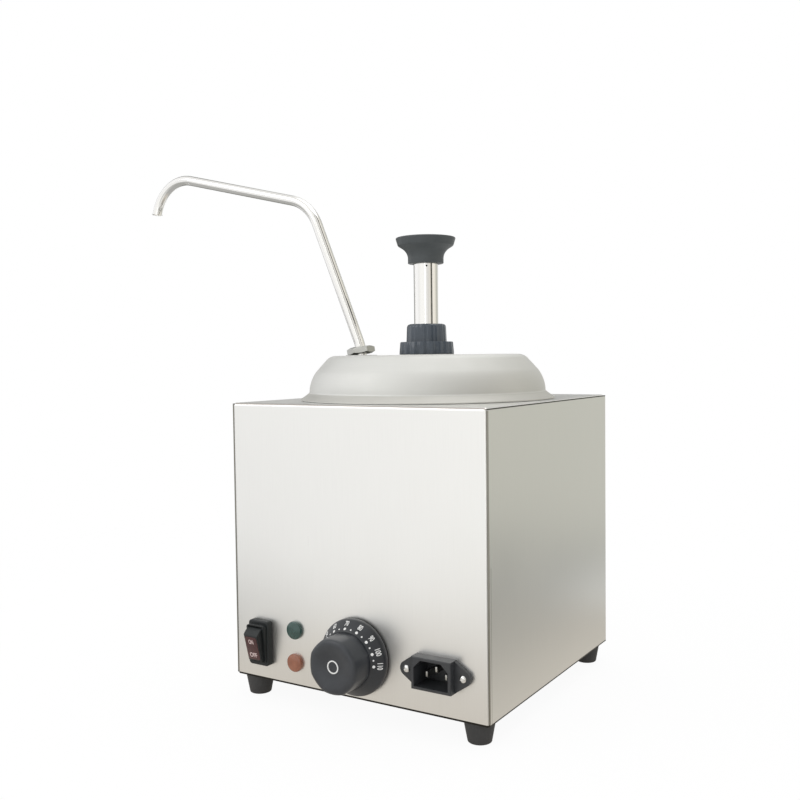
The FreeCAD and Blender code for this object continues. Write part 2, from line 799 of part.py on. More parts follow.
pocket(sketch, "2 * sheet_thick + overrun", back=True)

feet = new_body("rubber_feet")
sketch = new_sketch(feet, level="casing_base")
for across, back in corners_of("foot_across", "foot_back"):
    circle(sketch, across, back, "foot_top_radius")
cone = pad(sketch, "foot_tall", back=True)
bind(cone, "TaperAngle", "-atan((foot_top_radius - foot_base_radius) / foot_tall)")
for radius, deep in (("foot_recess_radius", "foot_recess_deep"),
                     ("foot_screw_radius + hole_clearance", "foot_tall")):
    sketch = new_sketch(feet)
    for across, back in corners_of("foot_across", "foot_back"):
        circle(sketch, across, back, radius)
    pocket(sketch, deep, back=True)

screws = new_body("foot_screws")
for radius, long, back in (("foot_head_radius", "foot_head_tall", True),
                           ("foot_screw_radius", "foot_screw_reach", False)):
    sketch = new_sketch(screws, level="foot_recess_deep")
    for across, away in corners_of("foot_across", "foot_back"):
        circle(sketch, across, away, radius)
    pad(sketch, long, back=back)

nuts = new_body("foot_nuts")
sketch = new_sketch(nuts, level="floor_top")
for across, back in corners_of("foot_across", "foot_back"):
    hexagon(sketch, across, back, "foot_nut_flats")
    circle(sketch, across, back, "foot_screw_radius")
pad(sketch, "foot_nut_tall")

screws = new_body("back_screws")
for radius, long, back in (("back_head_radius", "back_head_tall", False),
                           ("back_screw_radius", "back_screw_long", True)):
    sketch = new_sketch(screws)
    for side in (-1, 1):
        circle(sketch, f"{side} * back_screw_across", 0, radius)
    pad(sketch, long, back=back)
place(screws, 0, "front_out", "back_screw_up", turn=-90)

# Water bath: tank, tubular heater and what fixes it

tank = turned("water_tank", [
    (0, "tank_base"),
    ("tank_radius - tank_corner", "tank_base", "tank_corner", 1),
    ("tank_radius", "tank_base + tank_corner"),
    ("tank_radius", "under_top - tank_wall"),
    ("tank_flange_radius", "under_top - tank_wall"),
    ("tank_flange_radius", "under_top"),
    ("tank_radius - tank_wall", "under_top"),
    ("tank_radius - tank_wall", "tank_base + tank_corner", "tank_corner - tank_wall", -1),
    ("tank_radius - tank_corner", "tank_inside"),
    (0, "tank_inside"),
])
sketch = new_sketch(tank, level="tank_inside + overrun")
for side in (-1, 1):
    circle(sketch, f"{side} * lead_across", "lead_back", "heater_tube + hole_clearance")
pocket(sketch, "tank_wall + 2 * overrun")
sketch = new_sketch(tank, level="tank_base")
for side in (-1, 1):
    circle(sketch, f"cutout_across + {side} * cutout_stud_pitch / 2", "cutout_back", "cutout_stud_radius")
pad(sketch, "cutout_plate_thick + cutout_nut_tall + foot_screw_spare", back=True)


def point(across, back, up):
    return FreeCAD.Vector(size(across), size(back), size(up))


def round_wire(places, radius):
    """Joins places with straight runs and with arcs of one radius that both runs are tangent to."""
    edges = []
    start = places[0]
    for before, corner, after in zip(places, places[1:], places[2:]):
        into, out = (corner - before).normalize(), (after - corner).normalize()
        turn = into.getAngle(out)
        reach = radius * math.tan(turn / 2)
        entry, leave = corner - into * reach, corner + out * reach
        inward = (out - into).normalize()
        middle = corner + inward * radius * (1 / math.cos(turn / 2) - 1)
        edges += [Part.LineSegment(start, entry).toShape(), Part.Arc(entry, middle, leave).toShape()]
        start = leave
    edges.append(Part.LineSegment(start, places[-1]).toShape())
    return edges


def swept(edges, radius):
    """Sweeps a circle along edges that follow on smoothly."""
    wire = Part.Wire(edges)
    start = wire.OrderedEdges[0]
    begin = start.valueAt(start.FirstParameter)
    ring = Part.Wire(Part.Circle(begin, start.tangentAt(start.FirstParameter), radius).toShape())
    return wire.makePipeShell([ring], True, False)


def shaped(node, shape):
    """Keeps a shape that no sketched feature makes."""
    feature = doc.addObject("Part::Feature", node)
    feature.Label = node
    feature.Shape = shape
    nodes.append(feature)
    return feature


# The heating tube: a ring open at the back, whose ends bend down through the tank's floor
ring_radius, bend, level = size("heater_radius"), size("heater_bend"), size("heater_level")
lead_angle = math.atan2(bend, ring_radius) + math.asin(size("lead_across") / math.hypot(ring_radius, bend))
ring_end = FreeCAD.Vector(ring_radius * math.sin(lead_angle), ring_radius * math.cos(lead_angle), level)
tangent = FreeCAD.Vector(-math.cos(lead_angle), math.sin(lead_angle), 0)
down = FreeCAD.Vector(0, 0, -1)
elbow_end = ring_end + tangent * bend + down * bend
elbow_middle = ring_end + tangent * bend * math.sin(math.pi / 4) + down * bend * (1 - math.cos(math.pi / 4))
tail_end = FreeCAD.Vector(elbow_end.x, elbow_end.y, size("tank_base - heater_tail"))


def mirrored(place):
    return FreeCAD.Vector(-place.x, place.y, place.z)


heater_edges = [
    Part.LineSegment(tail_end, elbow_end).toShape(),
    Part.Arc(elbow_end, elbow_middle, ring_end).toShape(),
    Part.Arc(ring_end, FreeCAD.Vector(0, -ring_radius, level), mirrored(ring_end)).toShape(),
    Part.Arc(mirrored(ring_end), mirrored(elbow_middle), mirrored(elbow_end)).toShape(),
    Part.LineSegment(mirrored(elbow_end), mirrored(tail_end)).toShape(),
]
heater = swept(heater_edges, size("heater_tube"))
for end in (tail_end, mirrored(tail_end)):
    pin = Part.makeCylinder(size("heater_pin_radius"), size("heater_pin_long"), end, down)
    heater = heater.fuse(pin)
shaped("heating_element", heater)

washers = new_body("heater_washers")
sketch = new_sketch(washers, level="tank_inside")
for side in (-1, 1):
    circle(sketch, f"{side} * lead_across", "lead_back", "heater_washer_radius")
    circle(sketch, f"{side} * lead_across", "lead_back", "heater_tube")
pad(sketch, "heater_washer_tall")

nuts = new_body("heater_nuts")
sketch = new_sketch(nuts, level="tank_base")
for side in (-1, 1):
    hexagon(sketch, f"{side} * lead_across", "lead_back", "heater_nut_flats")
    circle(sketch, f"{side} * lead_across", "lead_back", "heater_tube")
pad(sketch, "heater_nut_tall", back=True)

# Lift-out pot

turned("product_pot", [
    (0, "pot_base"),
    ("pot_radius - pot_corner", "pot_base", "pot_corner", 1),
    ("pot_radius", "pot_base + pot_corner"),
    ("pot_radius", "seat"),
    ("pot_rim_radius", "seat"),
    ("pot_rim_radius", "seat + pot_wall"),
    ("pot_radius - pot_wall", "seat + pot_wall"),
    ("pot_radius - pot_wall", "pot_base + pot_corner", "pot_corner - pot_wall", -1),
    ("pot_radius - pot_corner", "pot_floor"),
    (0, "pot_floor"),
])

# Lid: rolled edge, cone, step, domed side, sloping shoulder and flat top

lid = turned("lid", [
    ("lid_edge_radius", "seat"),
    ("lid_edge_radius", "seat + lid_thick"),
    ("lid_cone_radius", "casing_top + lid_cone_rise"),
    ("lid_side_radius", "casing_top + lid_step_rise"),
    ("lid_side_radius", "casing_top + lid_side_rise", "lid_side_round", 1),
    ("lid_shoulder_radius", "casing_top + lid_shoulder_rise"),
    ("lid_slope_radius", "casing_top + lid_slope_rise", "lid_top_round", 1),
    ("lid_top_radius", "lid_top"),
    ("neck_radius + neck_clearance", "lid_top"),
    ("neck_radius + neck_clearance", "lid_under"),
    ("lid_top_radius - lid_thick / 4", "lid_under", "lid_top_round - lid_thick", -1),
    ("lid_slope_radius - lid_thick * 0.7", "casing_top + lid_slope_rise - lid_thick * 0.7"),
    ("lid_shoulder_radius - lid_thick * 0.7", "casing_top + lid_shoulder_rise - lid_thick * 0.7",
     "lid_side_round - lid_thick", -1),
    ("lid_side_radius - lid_thick", "casing_top + lid_side_rise"),
    ("lid_side_radius - lid_thick", "casing_top + lid_step_rise - lid_thick / 2"),
    ("lid_cone_radius - lid_thick", "casing_top + lid_cone_rise - lid_thick"),
    ("lid_edge_radius - lid_thick", "seat"),
])
sketch = new_sketch(lid, level="lid_top + overrun")
circle(sketch, "-spout_hole_out", 0, "spout_hole_radius")
pocket(sketch, "lid_thick + 2 * overrun")

# Pump cylinder, gasket and collar nut

turned("pump_cylinder", [
    ("bore_radius", "valve_top"),
    ("cylinder_outer", "valve_top"),
    ("cylinder_outer", "lid_under - cylinder_flange_tall"),
    ("cylinder_flange_radius", "lid_under - cylinder_flange_tall"),
    ("cylinder_flange_radius", "lid_under"),
    ("neck_radius", "lid_under"),
    ("neck_radius", "neck_top"),
    ("bore_radius", "neck_top"),
])
turned("collar_gasket", [
    ("neck_radius", "lid_top"),
    ("gasket_radius", "lid_top"),
    ("gasket_radius", "collar_base"),
    ("neck_radius", "collar_base"),
])
collar = turned("collar_nut", [
    ("neck_radius + thread_play", "collar_base"),
    ("collar_radius", "collar_base"),
    ("collar_radius - collar_taper", "cap_base"),
    ("cap_radius", "cap_base"),
    ("cap_radius - cap_taper", "cap_top - cap_round", "cap_round", 1),
    ("cap_radius - cap_taper - cap_round", "cap_top"),
    ("plunger_radius + running_fit", "cap_top"),
    ("plunger_radius + running_fit", "neck_top + seat_gap"),
    ("neck_radius + thread_play", "neck_top + seat_gap"),
])
sketch = new_sketch(collar, level="cap_base + overrun")
circle(sketch, "collar_radius * collar_notch_share + collar_notch_radius", 0, "collar_notch_radius")
around(pocket(sketch, "collar_tall + 2 * overrun"), "collar_notches")
sketch = new_sketch(collar, level="cap_top + overrun")
circle(sketch, "cap_radius + cap_flute_radius * cap_flute_share", 0, "cap_flute_radius")
around(pocket(sketch, "cap_tall + overrun"), "cap_flutes")

# Valve body: suction hole, ball seat, ball cage, spring bore and side outlet

valve = turned("valve_body", [
    ("valve_inlet_radius", "valve_base"),
    ("valve_radius - valve_foot_tall", "valve_base"),
    ("valve_radius", "valve_base + valve_foot_tall"),
    ("valve_radius", "valve_top"),
    ("bore_radius", "valve_top"),
    ("bore_radius", "valve_top + spigot_tall"),
    ("valve_bore_radius", "valve_top + spigot_tall"),
    ("valve_bore_radius", "cage_base"),
    ("ball_radius + ball_side_gap", "cage_base"),
    ("ball_radius + ball_side_gap", "ball_seat"),
    ("valve_inlet_radius", "ball_seat"),
])
sketch = new_sketch(valve, "YZ_Plane", "-valve_radius + valve_boss_long")
circle(sketch, 0, "outlet_level", "valve_boss_radius")
pad(sketch, "2 * valve_boss_long", back=True)
sketch = new_sketch(valve, "YZ_Plane")
circle(sketch, 0, "outlet_level", "outlet_bore")
pocket(sketch, "valve_radius + valve_boss_long + overrun")
turned("ball_cage", [
    ("cage_radius", "cage_base"),
    ("valve_bore_radius", "cage_base"),
    ("valve_bore_radius", "cage_top"),
    ("cage_radius", "cage_top"),
])


def ball(node, radius, across=0, back=0, up=0):
    """Makes a ball as a sphere about its centre."""
    feature = doc.addObject("Part::Sphere", node)
    feature.Label = node
    bind(feature, "Radius", radius)
    place(feature, across, back, up)
    nodes.append(feature)


ball("inlet_ball", "ball_radius", up="ball_centre")

# Outlet: an arm from the valve body to a tower that leans with the spout and holds the second ball

outlet = new_body("outlet_elbow")
sketch = new_sketch(outlet, "XZ_Plane")
sketch.AttachmentOffset = FreeCAD.Placement(FreeCAD.Vector(), FreeCAD.Rotation(FreeCAD.Vector(0, 0, 1), 1))
bind(sketch, "AttachmentOffset.Rotation.Angle", "spout_nut_lean")
bind(sketch, "AttachmentOffset.Base.x", "-outlet_out")
bind(sketch, "AttachmentOffset.Base.y", "outlet_level")
outline(sketch, [
    (0, "-outlet_drop"),
    ("outlet_radius", "-outlet_drop"),
    ("outlet_radius", "tower_top"),
    ("spout_radius", "tower_top"),
    ("spout_radius", "socket_base"),
    ("outlet_stop_radius", "socket_base"),
    ("outlet_stop_radius", "stop_base"),
    ("outlet_chamber", "stop_base"),
    ("outlet_chamber", "outlet_seat_rise"),
    ("outlet_seat_radius", "outlet_seat_rise"),
    ("outlet_seat_radius", "outlet_seat_rise - outlet_floor"),
    ("outlet_bore", "outlet_seat_rise - outlet_floor"),
    ("outlet_bore", "-outlet_bore"),
    (0, "-outlet_bore"),
])
spin(sketch)
sketch = new_sketch(outlet, "YZ_Plane", "-valve_radius - valve_boss_long")
circle(sketch, 0, "outlet_level", "outlet_arm_radius")
pad(sketch, "outlet_out - valve_radius - valve_boss_long - outlet_bore", back=True)
sketch = new_sketch(outlet, "YZ_Plane", "-valve_radius - valve_boss_long")
circle(sketch, 0, "outlet_level", "outlet_bore")
pocket(sketch, "outlet_out - valve_radius - valve_boss_long")
ball("outlet_ball", "outlet_ball_radius", "-outlet_out - outlet_ball_rise * sin(spout_nut_lean)", 0,
     "outlet_level + outlet_ball_rise * cos(spout_nut_lean)")

# Spout: one bent tube from the tower, through the lid and out to the mouth

spout = new_body("spout_tube")
path = new_sketch(spout, "XZ_Plane")
bent_line(path, [
    ("-outlet_out - socket_base * sin(spout_nut_lean)", "outlet_level + socket_base * cos(spout_nut_lean)"),
    ("-spout_base_out", "spout_base_up", "spout_base_round"),
    ("-spout_knee_out", "spout_knee_up", "spout_knee_round"),
    ("-spout_end_out", "spout_end_up", "spout_end_round"),
    ("-spout_mouth_out", "spout_mouth_up"),
])
profile = spout.newObject("Sketcher::SketchObject", "spout_section")
profile.AttachmentSupport = [(path, "Edge1")]
profile.MapMode = "NormalToEdge"
circle(profile, 0, 0, "spout_radius")
circle(profile, 0, 0, "spout_bore")
doc.recompute()
pipe = spout.newObject("PartDesign::AdditivePipe", "spout_pipe")
pipe.Profile = profile
pipe.Spine = (path, [f"Edge{number}" for number in range(1, len(path.Shape.Edges) + 1)])

for node, flats, tall, along in (
    ("union_nut", "union_flats", "union_tall", "tower_top"),
    ("spout_nut", "spout_nut_flats", "spout_nut_tall", "spout_nut_along"),
):
    nut = new_body(node)
    sketch = new_sketch(nut)
    hexagon(sketch, 0, 0, flats)
    circle(sketch, 0, 0, "spout_radius")
    pad(sketch, tall)
    place(nut, f"-outlet_out - {along} * sin(spout_nut_lean)", 0,
          f"outlet_level + {along} * cos(spout_nut_lean)", (0, -1, 0), "spout_nut_lean")

washer = new_body("spout_washer")
sketch = new_sketch(washer, level="lid_top")
circle(sketch, "-spout_hole_out", 0, "spout_washer_radius")
circle(sketch, "-spout_hole_out", 0, "spout_hole_radius")
pad(sketch, "spout_washer_tall")

# Plunger: tube, piston with two seals, cross pins, spring and knob

tube = turned("plunger_tube", [
    ("plunger_radius - plunger_wall", "piston_top"),
    ("plunger_radius", "piston_top"),
    ("plunger_radius", "knob_base + plunger_grip"),
    ("plunger_radius - plunger_wall", "knob_base + plunger_grip"),
])
sketch = new_sketch(tube, "YZ_Plane")
sketch.AttachmentOffset = FreeCAD.Placement(FreeCAD.Vector(), FreeCAD.Rotation(FreeCAD.Vector(0, 1, 0), 1))
bind(sketch, "AttachmentOffset.Rotation.Angle", "vent_turn")
circle(sketch, 0, "knob_base - vent_drop", "vent_radius")
pocket(sketch, "plunger_radius + overrun", back=True)
sketch = new_sketch(tube, "YZ_Plane")
circle(sketch, 0, "piston_top + piston_plug / 2", "pin_radius")
pocket(sketch, "2 * (plunger_radius + overrun)", both=True)

piston = turned("piston", [
    (0, "piston_base"),
    ("piston_radius", "piston_base"),
    ("piston_radius", "lower_seal_up - seal_groove_wide / 2"),
    ("seal_floor", "lower_seal_up - seal_groove_wide / 2"),
    ("seal_floor", "lower_seal_up + seal_groove_wide / 2"),
    ("piston_radius", "lower_seal_up + seal_groove_wide / 2"),
    ("piston_radius", "upper_seal_up - seal_groove_wide / 2"),
    ("seal_floor", "upper_seal_up - seal_groove_wide / 2"),
    ("seal_floor", "upper_seal_up + seal_groove_wide / 2"),
    ("piston_radius", "upper_seal_up + seal_groove_wide / 2"),
    ("piston_radius", "piston_top"),
    ("plunger_radius - plunger_wall", "piston_top"),
    ("plunger_radius - plunger_wall", "piston_top + piston_plug"),
    (0, "piston_top + piston_plug"),
])
sketch = new_sketch(piston, "YZ_Plane")
circle(sketch, 0, "piston_top + piston_plug / 2", "pin_radius")
pocket(sketch, "2 * (plunger_radius + overrun)", both=True)

seals = new_body("piston_seals")
sketch = new_sketch(seals, "XZ_Plane")
circle(sketch, "seal_ring", "lower_seal_up", "seal_wire")
circle(sketch, "seal_ring", "upper_seal_up", "seal_wire")
spin(sketch)

pin = new_body("piston_pin")
sketch = new_sketch(pin, "YZ_Plane")
circle(sketch, 0, "piston_top + piston_plug / 2", "pin_radius")
pad(sketch, "pin_long", both=True)

# The return spring winds upwards in short straight steps of a six-sided wire
turns, steps = int(size("spring_turns")), 12
coil_radius, wire = size("spring_radius"), size("spring_wire")
coil_low, coil_high = size("cage_top") + wire, size("piston_base") - wire


def coil_section(number):
    share = number / (turns * steps)
    angle = 2 * math.pi * turns * share
    out = FreeCAD.Vector(math.cos(angle), math.sin(angle), 0)
    centre = out * coil_radius + FreeCAD.Vector(0, 0, coil_low + (coil_high - coil_low) * share)
    ring = [math.radians(60 * side) for side in range(7)]
    up = FreeCAD.Vector(0, 0, 1)
    return Part.makePolygon([centre + (out * math.cos(a) + up * math.sin(a)) * wire for a in ring])


shaped("return_spring", Part.makeLoft([coil_section(n) for n in range(turns * steps + 1)], True, True))

knob = turned("plunger_knob", [
    ("plunger_radius", "knob_base"),
    ("knob_collar_radius - knob_collar_chamfer", "knob_base"),
    ("knob_collar_radius", "knob_base + knob_collar_chamfer"),
    ("knob_collar_radius", "knob_base + knob_collar_tall", "knob_flare_round", -1),
    ("knob_flare_radius", "knob_base + knob_flare_rise"),
    ("knob_rim_radius", "knob_base + knob_rim_rise", "knob_edge_round", 1),
    ("knob_edge_radius", "knob_base + knob_edge_rise", "knob_dome", 1),
    (0, "knob_base + knob_tall"),
    (0, "knob_base + plunger_grip"),
    ("plunger_radius", "knob_base + plunger_grip"),
])

# Thermostat behind the panel, its spindle, and the dial on it

stat = new_body("thermostat_body")
sketch = new_sketch(stat, level="-sheet_thick")
rectangle(sketch, 0, 0, "stat_wide", "stat_tall")
pad(sketch, "stat_deep", back=True)
rounded(stat, "stat_corner", lambda middle, along, edge: abs(along.z) > 0.999)
sketch = new_sketch(stat, level="-sheet_thick")
circle(sketch, 0, 0, "stat_bush_radius")
pad(sketch, "sheet_thick + stat_bush_show")
sketch = new_sketch(stat, level="stat_bush_show")
circle(sketch, 0, 0, "spindle_radius + running_fit")
pocket(sketch, "stat_bush_show + sheet_thick + spindle_inside + seat_gap")
sketch = new_sketch(stat, level="-sheet_thick")
for side in (-1, 1):
    circle(sketch, f"{side} * stat_screw_pitch / 2", 0, "stat_screw_radius")
pocket(sketch, "stat_screw_long + overrun")
sketch = new_sketch(stat, level="-sheet_thick - stat_deep")
for side in (-1, 1):
    rectangle(sketch, 0, f"{side} * stat_tab_gap / 2", "stat_tab_wide", "stat_tab_thick")
pad(sketch, "stat_tab_long", back=True)
on_panel(stat, "dial_across", "dial_up")

screws = new_body("thermostat_screws")
for radius, level, long, back in (("stat_head_radius", 0, "stat_head_tall", False),
                                  ("stat_screw_radius", 0, "sheet_thick + stat_screw_long", True)):
    sketch = new_sketch(screws, level=level)
    for side in (-1, 1):
        circle(sketch, f"{side} * stat_screw_pitch / 2", 0, radius)
    pad(sketch, long, back=back)
on_panel(screws, "dial_across", "dial_up")

spindle = new_body("thermostat_spindle")
sketch = new_sketch(spindle, level="-sheet_thick - spindle_inside")
circle(sketch, 0, 0, "spindle_radius")
pad(sketch, "sheet_thick + spindle_inside + spindle_show")
sketch = new_sketch(spindle, level="spindle_show + overrun")
rectangle(sketch, 0, "2 * spindle_radius - spindle_flat", "3 * spindle_radius", "2 * spindle_radius")
pocket(sketch, "overrun + spindle_show - skirt_top_tall")
on_panel(spindle, "dial_across", "dial_up")

skirt = turned("dial_skirt", [
    ("skirt_radius - skirt_wall", "skirt_gap"),
    ("skirt_radius - skirt_draft", "skirt_gap"),
    ("skirt_radius", "skirt_edge_tall"),
    ("skirt_top_radius", "skirt_top_tall"),
    ("spindle_radius", "skirt_top_tall"),
    ("spindle_radius", "skirt_top_tall - skirt_wall"),
    ("skirt_top_radius - skirt_wall / 2", "skirt_top_tall - skirt_wall"),
    ("skirt_radius - skirt_wall", "skirt_edge_tall - skirt_wall / 2"),
])
on_panel(skirt, "dial_across", "dial_up")

grip = turned("dial_knob", [
    ("spindle_radius", "skirt_top_tall"),
    ("grip_waist", "skirt_top_tall"),
    ("grip_radius", "grip_top - grip_round", "grip_round", 1),
    ("grip_radius - grip_round", "grip_top", "grip_dish_round", -1),
    ("2 * boss_ring_radius", "grip_top - grip_dish"),
    ("boss_ring_radius", "grip_top - grip_dish"),
    ("boss_ring_radius", "grip_top - grip_dish + boss_ring_tall"),
    ("boss_ring_radius - boss_ring_wide", "grip_top - grip_dish + boss_ring_tall"),
    ("boss_ring_radius - boss_ring_wide", "grip_top - grip_dish"),
    (0, "grip_top - grip_dish"),
    (0, "spindle_show"),
    ("spindle_radius", "spindle_show"),
])
sketch = new_sketch(grip, level="grip_top + overrun")
half = "grip_flat_half"
outline(sketch, [
    ("grip_flats - grip_flat_sag", f"-{half}", "grip_flat_round", 1),
    ("grip_flats - grip_flat_sag", half),
    ("grip_radius + overrun", half),
    ("grip_radius + overrun", f"-{half}"),
])
around(pocket(sketch, "grip_tall + overrun"), "grip_sides")
on_panel(grip, "dial_across", "dial_up")

# Bulb of the thermostat under the tank's floor, with the thin tube that leads to it
bulb_height = size("tank_base - bulb_radius")
bulb_start = FreeCAD.Vector(-size("bulb_long") / 2, -size("bulb_back"), bulb_height)
bulb = Part.makeCylinder(size("bulb_radius"), size("bulb_long"), bulb_start, FreeCAD.Vector(1, 0, 0))
capillary = swept(round_wire([
    point("dial_across + capillary_off", "-panel_inside + stat_deep", "dial_up"),
    point("dial_across + capillary_off", "-capillary_turn_back", "dial_up"),
    point("capillary_side", "-capillary_turn_back", "dial_up"),
    point("capillary_side", "-bulb_back", "tank_base - bulb_radius"),
    point("bulb_long / 2", "-bulb_back", "tank_base - bulb_radius"),
], size("capillary_round")), size("capillary_radius"))
shaped("thermostat_capillary", bulb.fuse(capillary))

clips = new_body("bulb_clips")
low, near, far = "tank_base - bulb_radius", "-bulb_back - bulb_radius", "-bulb_back + bulb_radius"
for side in (-1, 1):
    sketch = new_sketch(clips, "YZ_Plane", f"{side} * clip_spread / 2 - clip_wide / 2")
    outline(sketch, [
        (f"{near} - clip_ear", "tank_base"),
        (f"{near} - clip_ear", "tank_base - clip_thick"),
        (f"{near} - clip_thick", "tank_base - clip_thick"),
        (f"{near} - clip_thick", low, "bulb_radius + clip_thick", 1),
        ("-bulb_back", f"{low} - bulb_radius - clip_thick", "bulb_radius + clip_thick", 1),
        (f"{far} + clip_thick", low),
        (f"{far} + clip_thick", "tank_base - clip_thick"),
        (f"{far} + clip_ear", "tank_base - clip_thick"),
        (f"{far} + clip_ear", "tank_base"),
        (far, "tank_base"),
        (far, low, "bulb_radius", -1),
        ("-bulb_back", f"{low} - bulb_radius", "bulb_radius", -1),
        (near, low),
        (near, "tank_base"),
    ])
    pad(sketch, "clip_wide")

# Thermal cut-out on two studs under the tank
cutout = new_body("thermal_cutout")
sketch = new_sketch(cutout)
rectangle(sketch, 0, 0, "cutout_stud_pitch + cutout_ear_wide", "cutout_ear_wide")
pad(sketch, "cutout_plate_thick", back=True)
rounded(cutout, "cutout_ear_wide / 3", lambda middle, along, edge: abs(along.z) > 0.999)
sketch = new_sketch(cutout)
circle(sketch, 0, 0, "cutout_radius")
pad(sketch, "cutout_tall", back=True)
sketch = new_sketch(cutout, level="-cutout_tall")
for side in (-1, 1):
    rectangle(sketch, 0, f"{side} * cutout_radius / 2", "stat_tab_wide", "stat_tab_thick")
pad(sketch, "stat_tab_long", back=True)
sketch = new_sketch(cutout)
for side in (-1, 1):
    circle(sketch, f"{side} * cutout_stud_pitch / 2", 0, "cutout_stud_radius + hole_clearance")
pocket(sketch, "cutout_plate_thick + overrun")
place(cutout, "cutout_across", "cutout_back", "tank_base")

nuts = new_body("cutout_nuts")
sketch = new_sketch(nuts)
for side in (-1, 1):
    hexagon(sketch, f"{side} * cutout_stud_pitch / 2", 0, "cutout_nut_flats")
    circle(sketch, f"{side} * cutout_stud_pitch / 2", 0, "cutout_stud_radius")
pad(sketch, "cutout_nut_tall", back=True)
place(nuts, "cutout_across", "cutout_back", "tank_base - cutout_plate_thick")

# Pilot lamps

for node, up in (("green_lamp_lens", "green_up"), ("red_lamp_lens", "red_up")):
    lens = turned(node, [
        (0, "-sheet_thick"),
        ("lens_stem_radius", "-sheet_thick"),
        ("lens_stem_radius", 0),
        ("lens_radius", 0),
        ("lens_radius", "lens_edge_tall", "lens_dome", 1),
        (0, "lens_tall"),
    ])
    on_panel(lens, "lamp_across", up)

lamps = new_body("lamp_bodies")
clips = new_body("lamp_clips")
for up in (0, "red_rise - green_rise"):
    sketch = new_sketch(lamps, level="-sheet_thick")
    circle(sketch, 0, up, "lamp_body_radius")
    pad(sketch, "lamp_body_long", back=True)
    sketch = new_sketch(lamps, level="-sheet_thick - lamp_body_long")
    for side in (-1, 1):
        circle(sketch, f"{side} * lamp_lead_gap / 2", up, "lamp_lead_radius")
    pad(sketch, "lamp_lead_long", back=True)
    sketch = new_sketch(clips, level="-sheet_thick")
    circle(sketch, 0, up, "lamp_clip_radius")
    circle(sketch, 0, up, "lamp_body_radius")
    pad(sketch, "lamp_clip_thick", back=True)
on_panel(lamps, "lamp_across", "green_up")
on_panel(clips, "lamp_across", "green_up")

# Rocker switch


def upright_corner(middle, along, edge):
    """Picks the straight edges that run along a panel piece's own +Z."""
    return isinstance(edge.Curve, Part.Line) and abs(along.z) > 0.999


def front_edge(level):
    """Picks the edges that lie all the way at one level of a panel piece."""

    def choose(middle, along, edge):
        box = edge.BoundBox
        return abs(box.ZMin - size(level)) < 0.001 and abs(box.ZMax - size(level)) < 0.001

    return choose


housing = new_body("switch_housing")
sketch = new_sketch(housing)
rectangle(sketch, 0, 0, "bezel_wide", "bezel_tall")
pad(sketch, "bezel_deep")
rounded(housing, "bezel_corner", upright_corner)
rounded(housing, "bezel_edge", front_edge("bezel_deep"))
sketch = new_sketch(housing)
rectangle(sketch, 0, 0, "switch_body_wide", "switch_body_tall")
pad(sketch, "switch_body_deep", back=True)
sketch = new_sketch(housing, level="bezel_deep")
rectangle(sketch, 0, 0, "switch_slot_wide", "switch_slot_tall")
pocket(sketch, "bezel_deep + switch_body_deep - switch_floor")
sketch = new_sketch(housing, "YZ_Plane")
circle(sketch, 0, "paddle_pivot", "trunnion_radius + running_fit")
pocket(sketch, "paddle_wide + 2 * (trunnion_long + hole_clearance)", both=True)
on_panel(housing, "switch_across", "switch_up")

hood = new_body("switch_hood")
sketch = new_sketch(hood, level="bezel_deep")
rectangle(sketch, 0, 0, "hood_wide", "hood_tall")
pad(sketch, "hood_deep - bezel_deep")
rounded(hood, "hood_corner", upright_corner)
sketch = new_sketch(hood, level="hood_deep")
rectangle(sketch, 0, 0, "switch_slot_wide", "switch_slot_tall")
pocket(sketch, "hood_deep - bezel_deep + overrun")
on_panel(hood, "switch_across", "switch_up")

terminals = new_body("switch_terminals")
sketch = new_sketch(terminals, level="-switch_body_deep")
for step in (-1, 0, 1):
    rectangle(sketch, 0, f"{step} * switch_tab_gap", "switch_tab_wide", "switch_tab_thick")
pad(sketch, "switch_tab_long", back=True)
on_panel(terminals, "switch_across", "switch_up")

paddle = new_body("rocker_paddle")
sketch = new_sketch(paddle, "YZ_Plane")
outline(sketch, [
    ("-paddle_hip", "-paddle_root"),
    ("paddle_hip", "-paddle_root"),
    ("paddle_round", 0, "paddle_round", 1),
    ("paddle_half", "paddle_face"),
    ("-paddle_half", "paddle_face", "paddle_round", 1),
    ("-paddle_round", 0),
])
pad(sketch, "paddle_wide", both=True)
sketch = new_sketch(paddle, level="paddle_face")
face_wide, face_tall = "paddle_wide - 2 * face_margin", "2 * (paddle_half - face_margin)"
rectangle(sketch, 0, 0, face_wide, face_tall)
pocket(sketch, "face_sink")
sketch = new_sketch(paddle, "YZ_Plane")
circle(sketch, 0, 0, "trunnion_radius")
pad(sketch, "paddle_wide + 2 * trunnion_long", both=True)

face = new_body("rocker_face")
sketch = new_sketch(face, level="paddle_face - face_sink")
rectangle(sketch, 0, 0, face_wide, face_tall)
pad(sketch, "face_sink + face_proud")
rounded(face, "face_corner", upright_corner)
for piece in (paddle, face):
    place(piece, "switch_across", "-front_out - paddle_pivot", "switch_up", turn="90 + paddle_tilt")

# Mains inlet

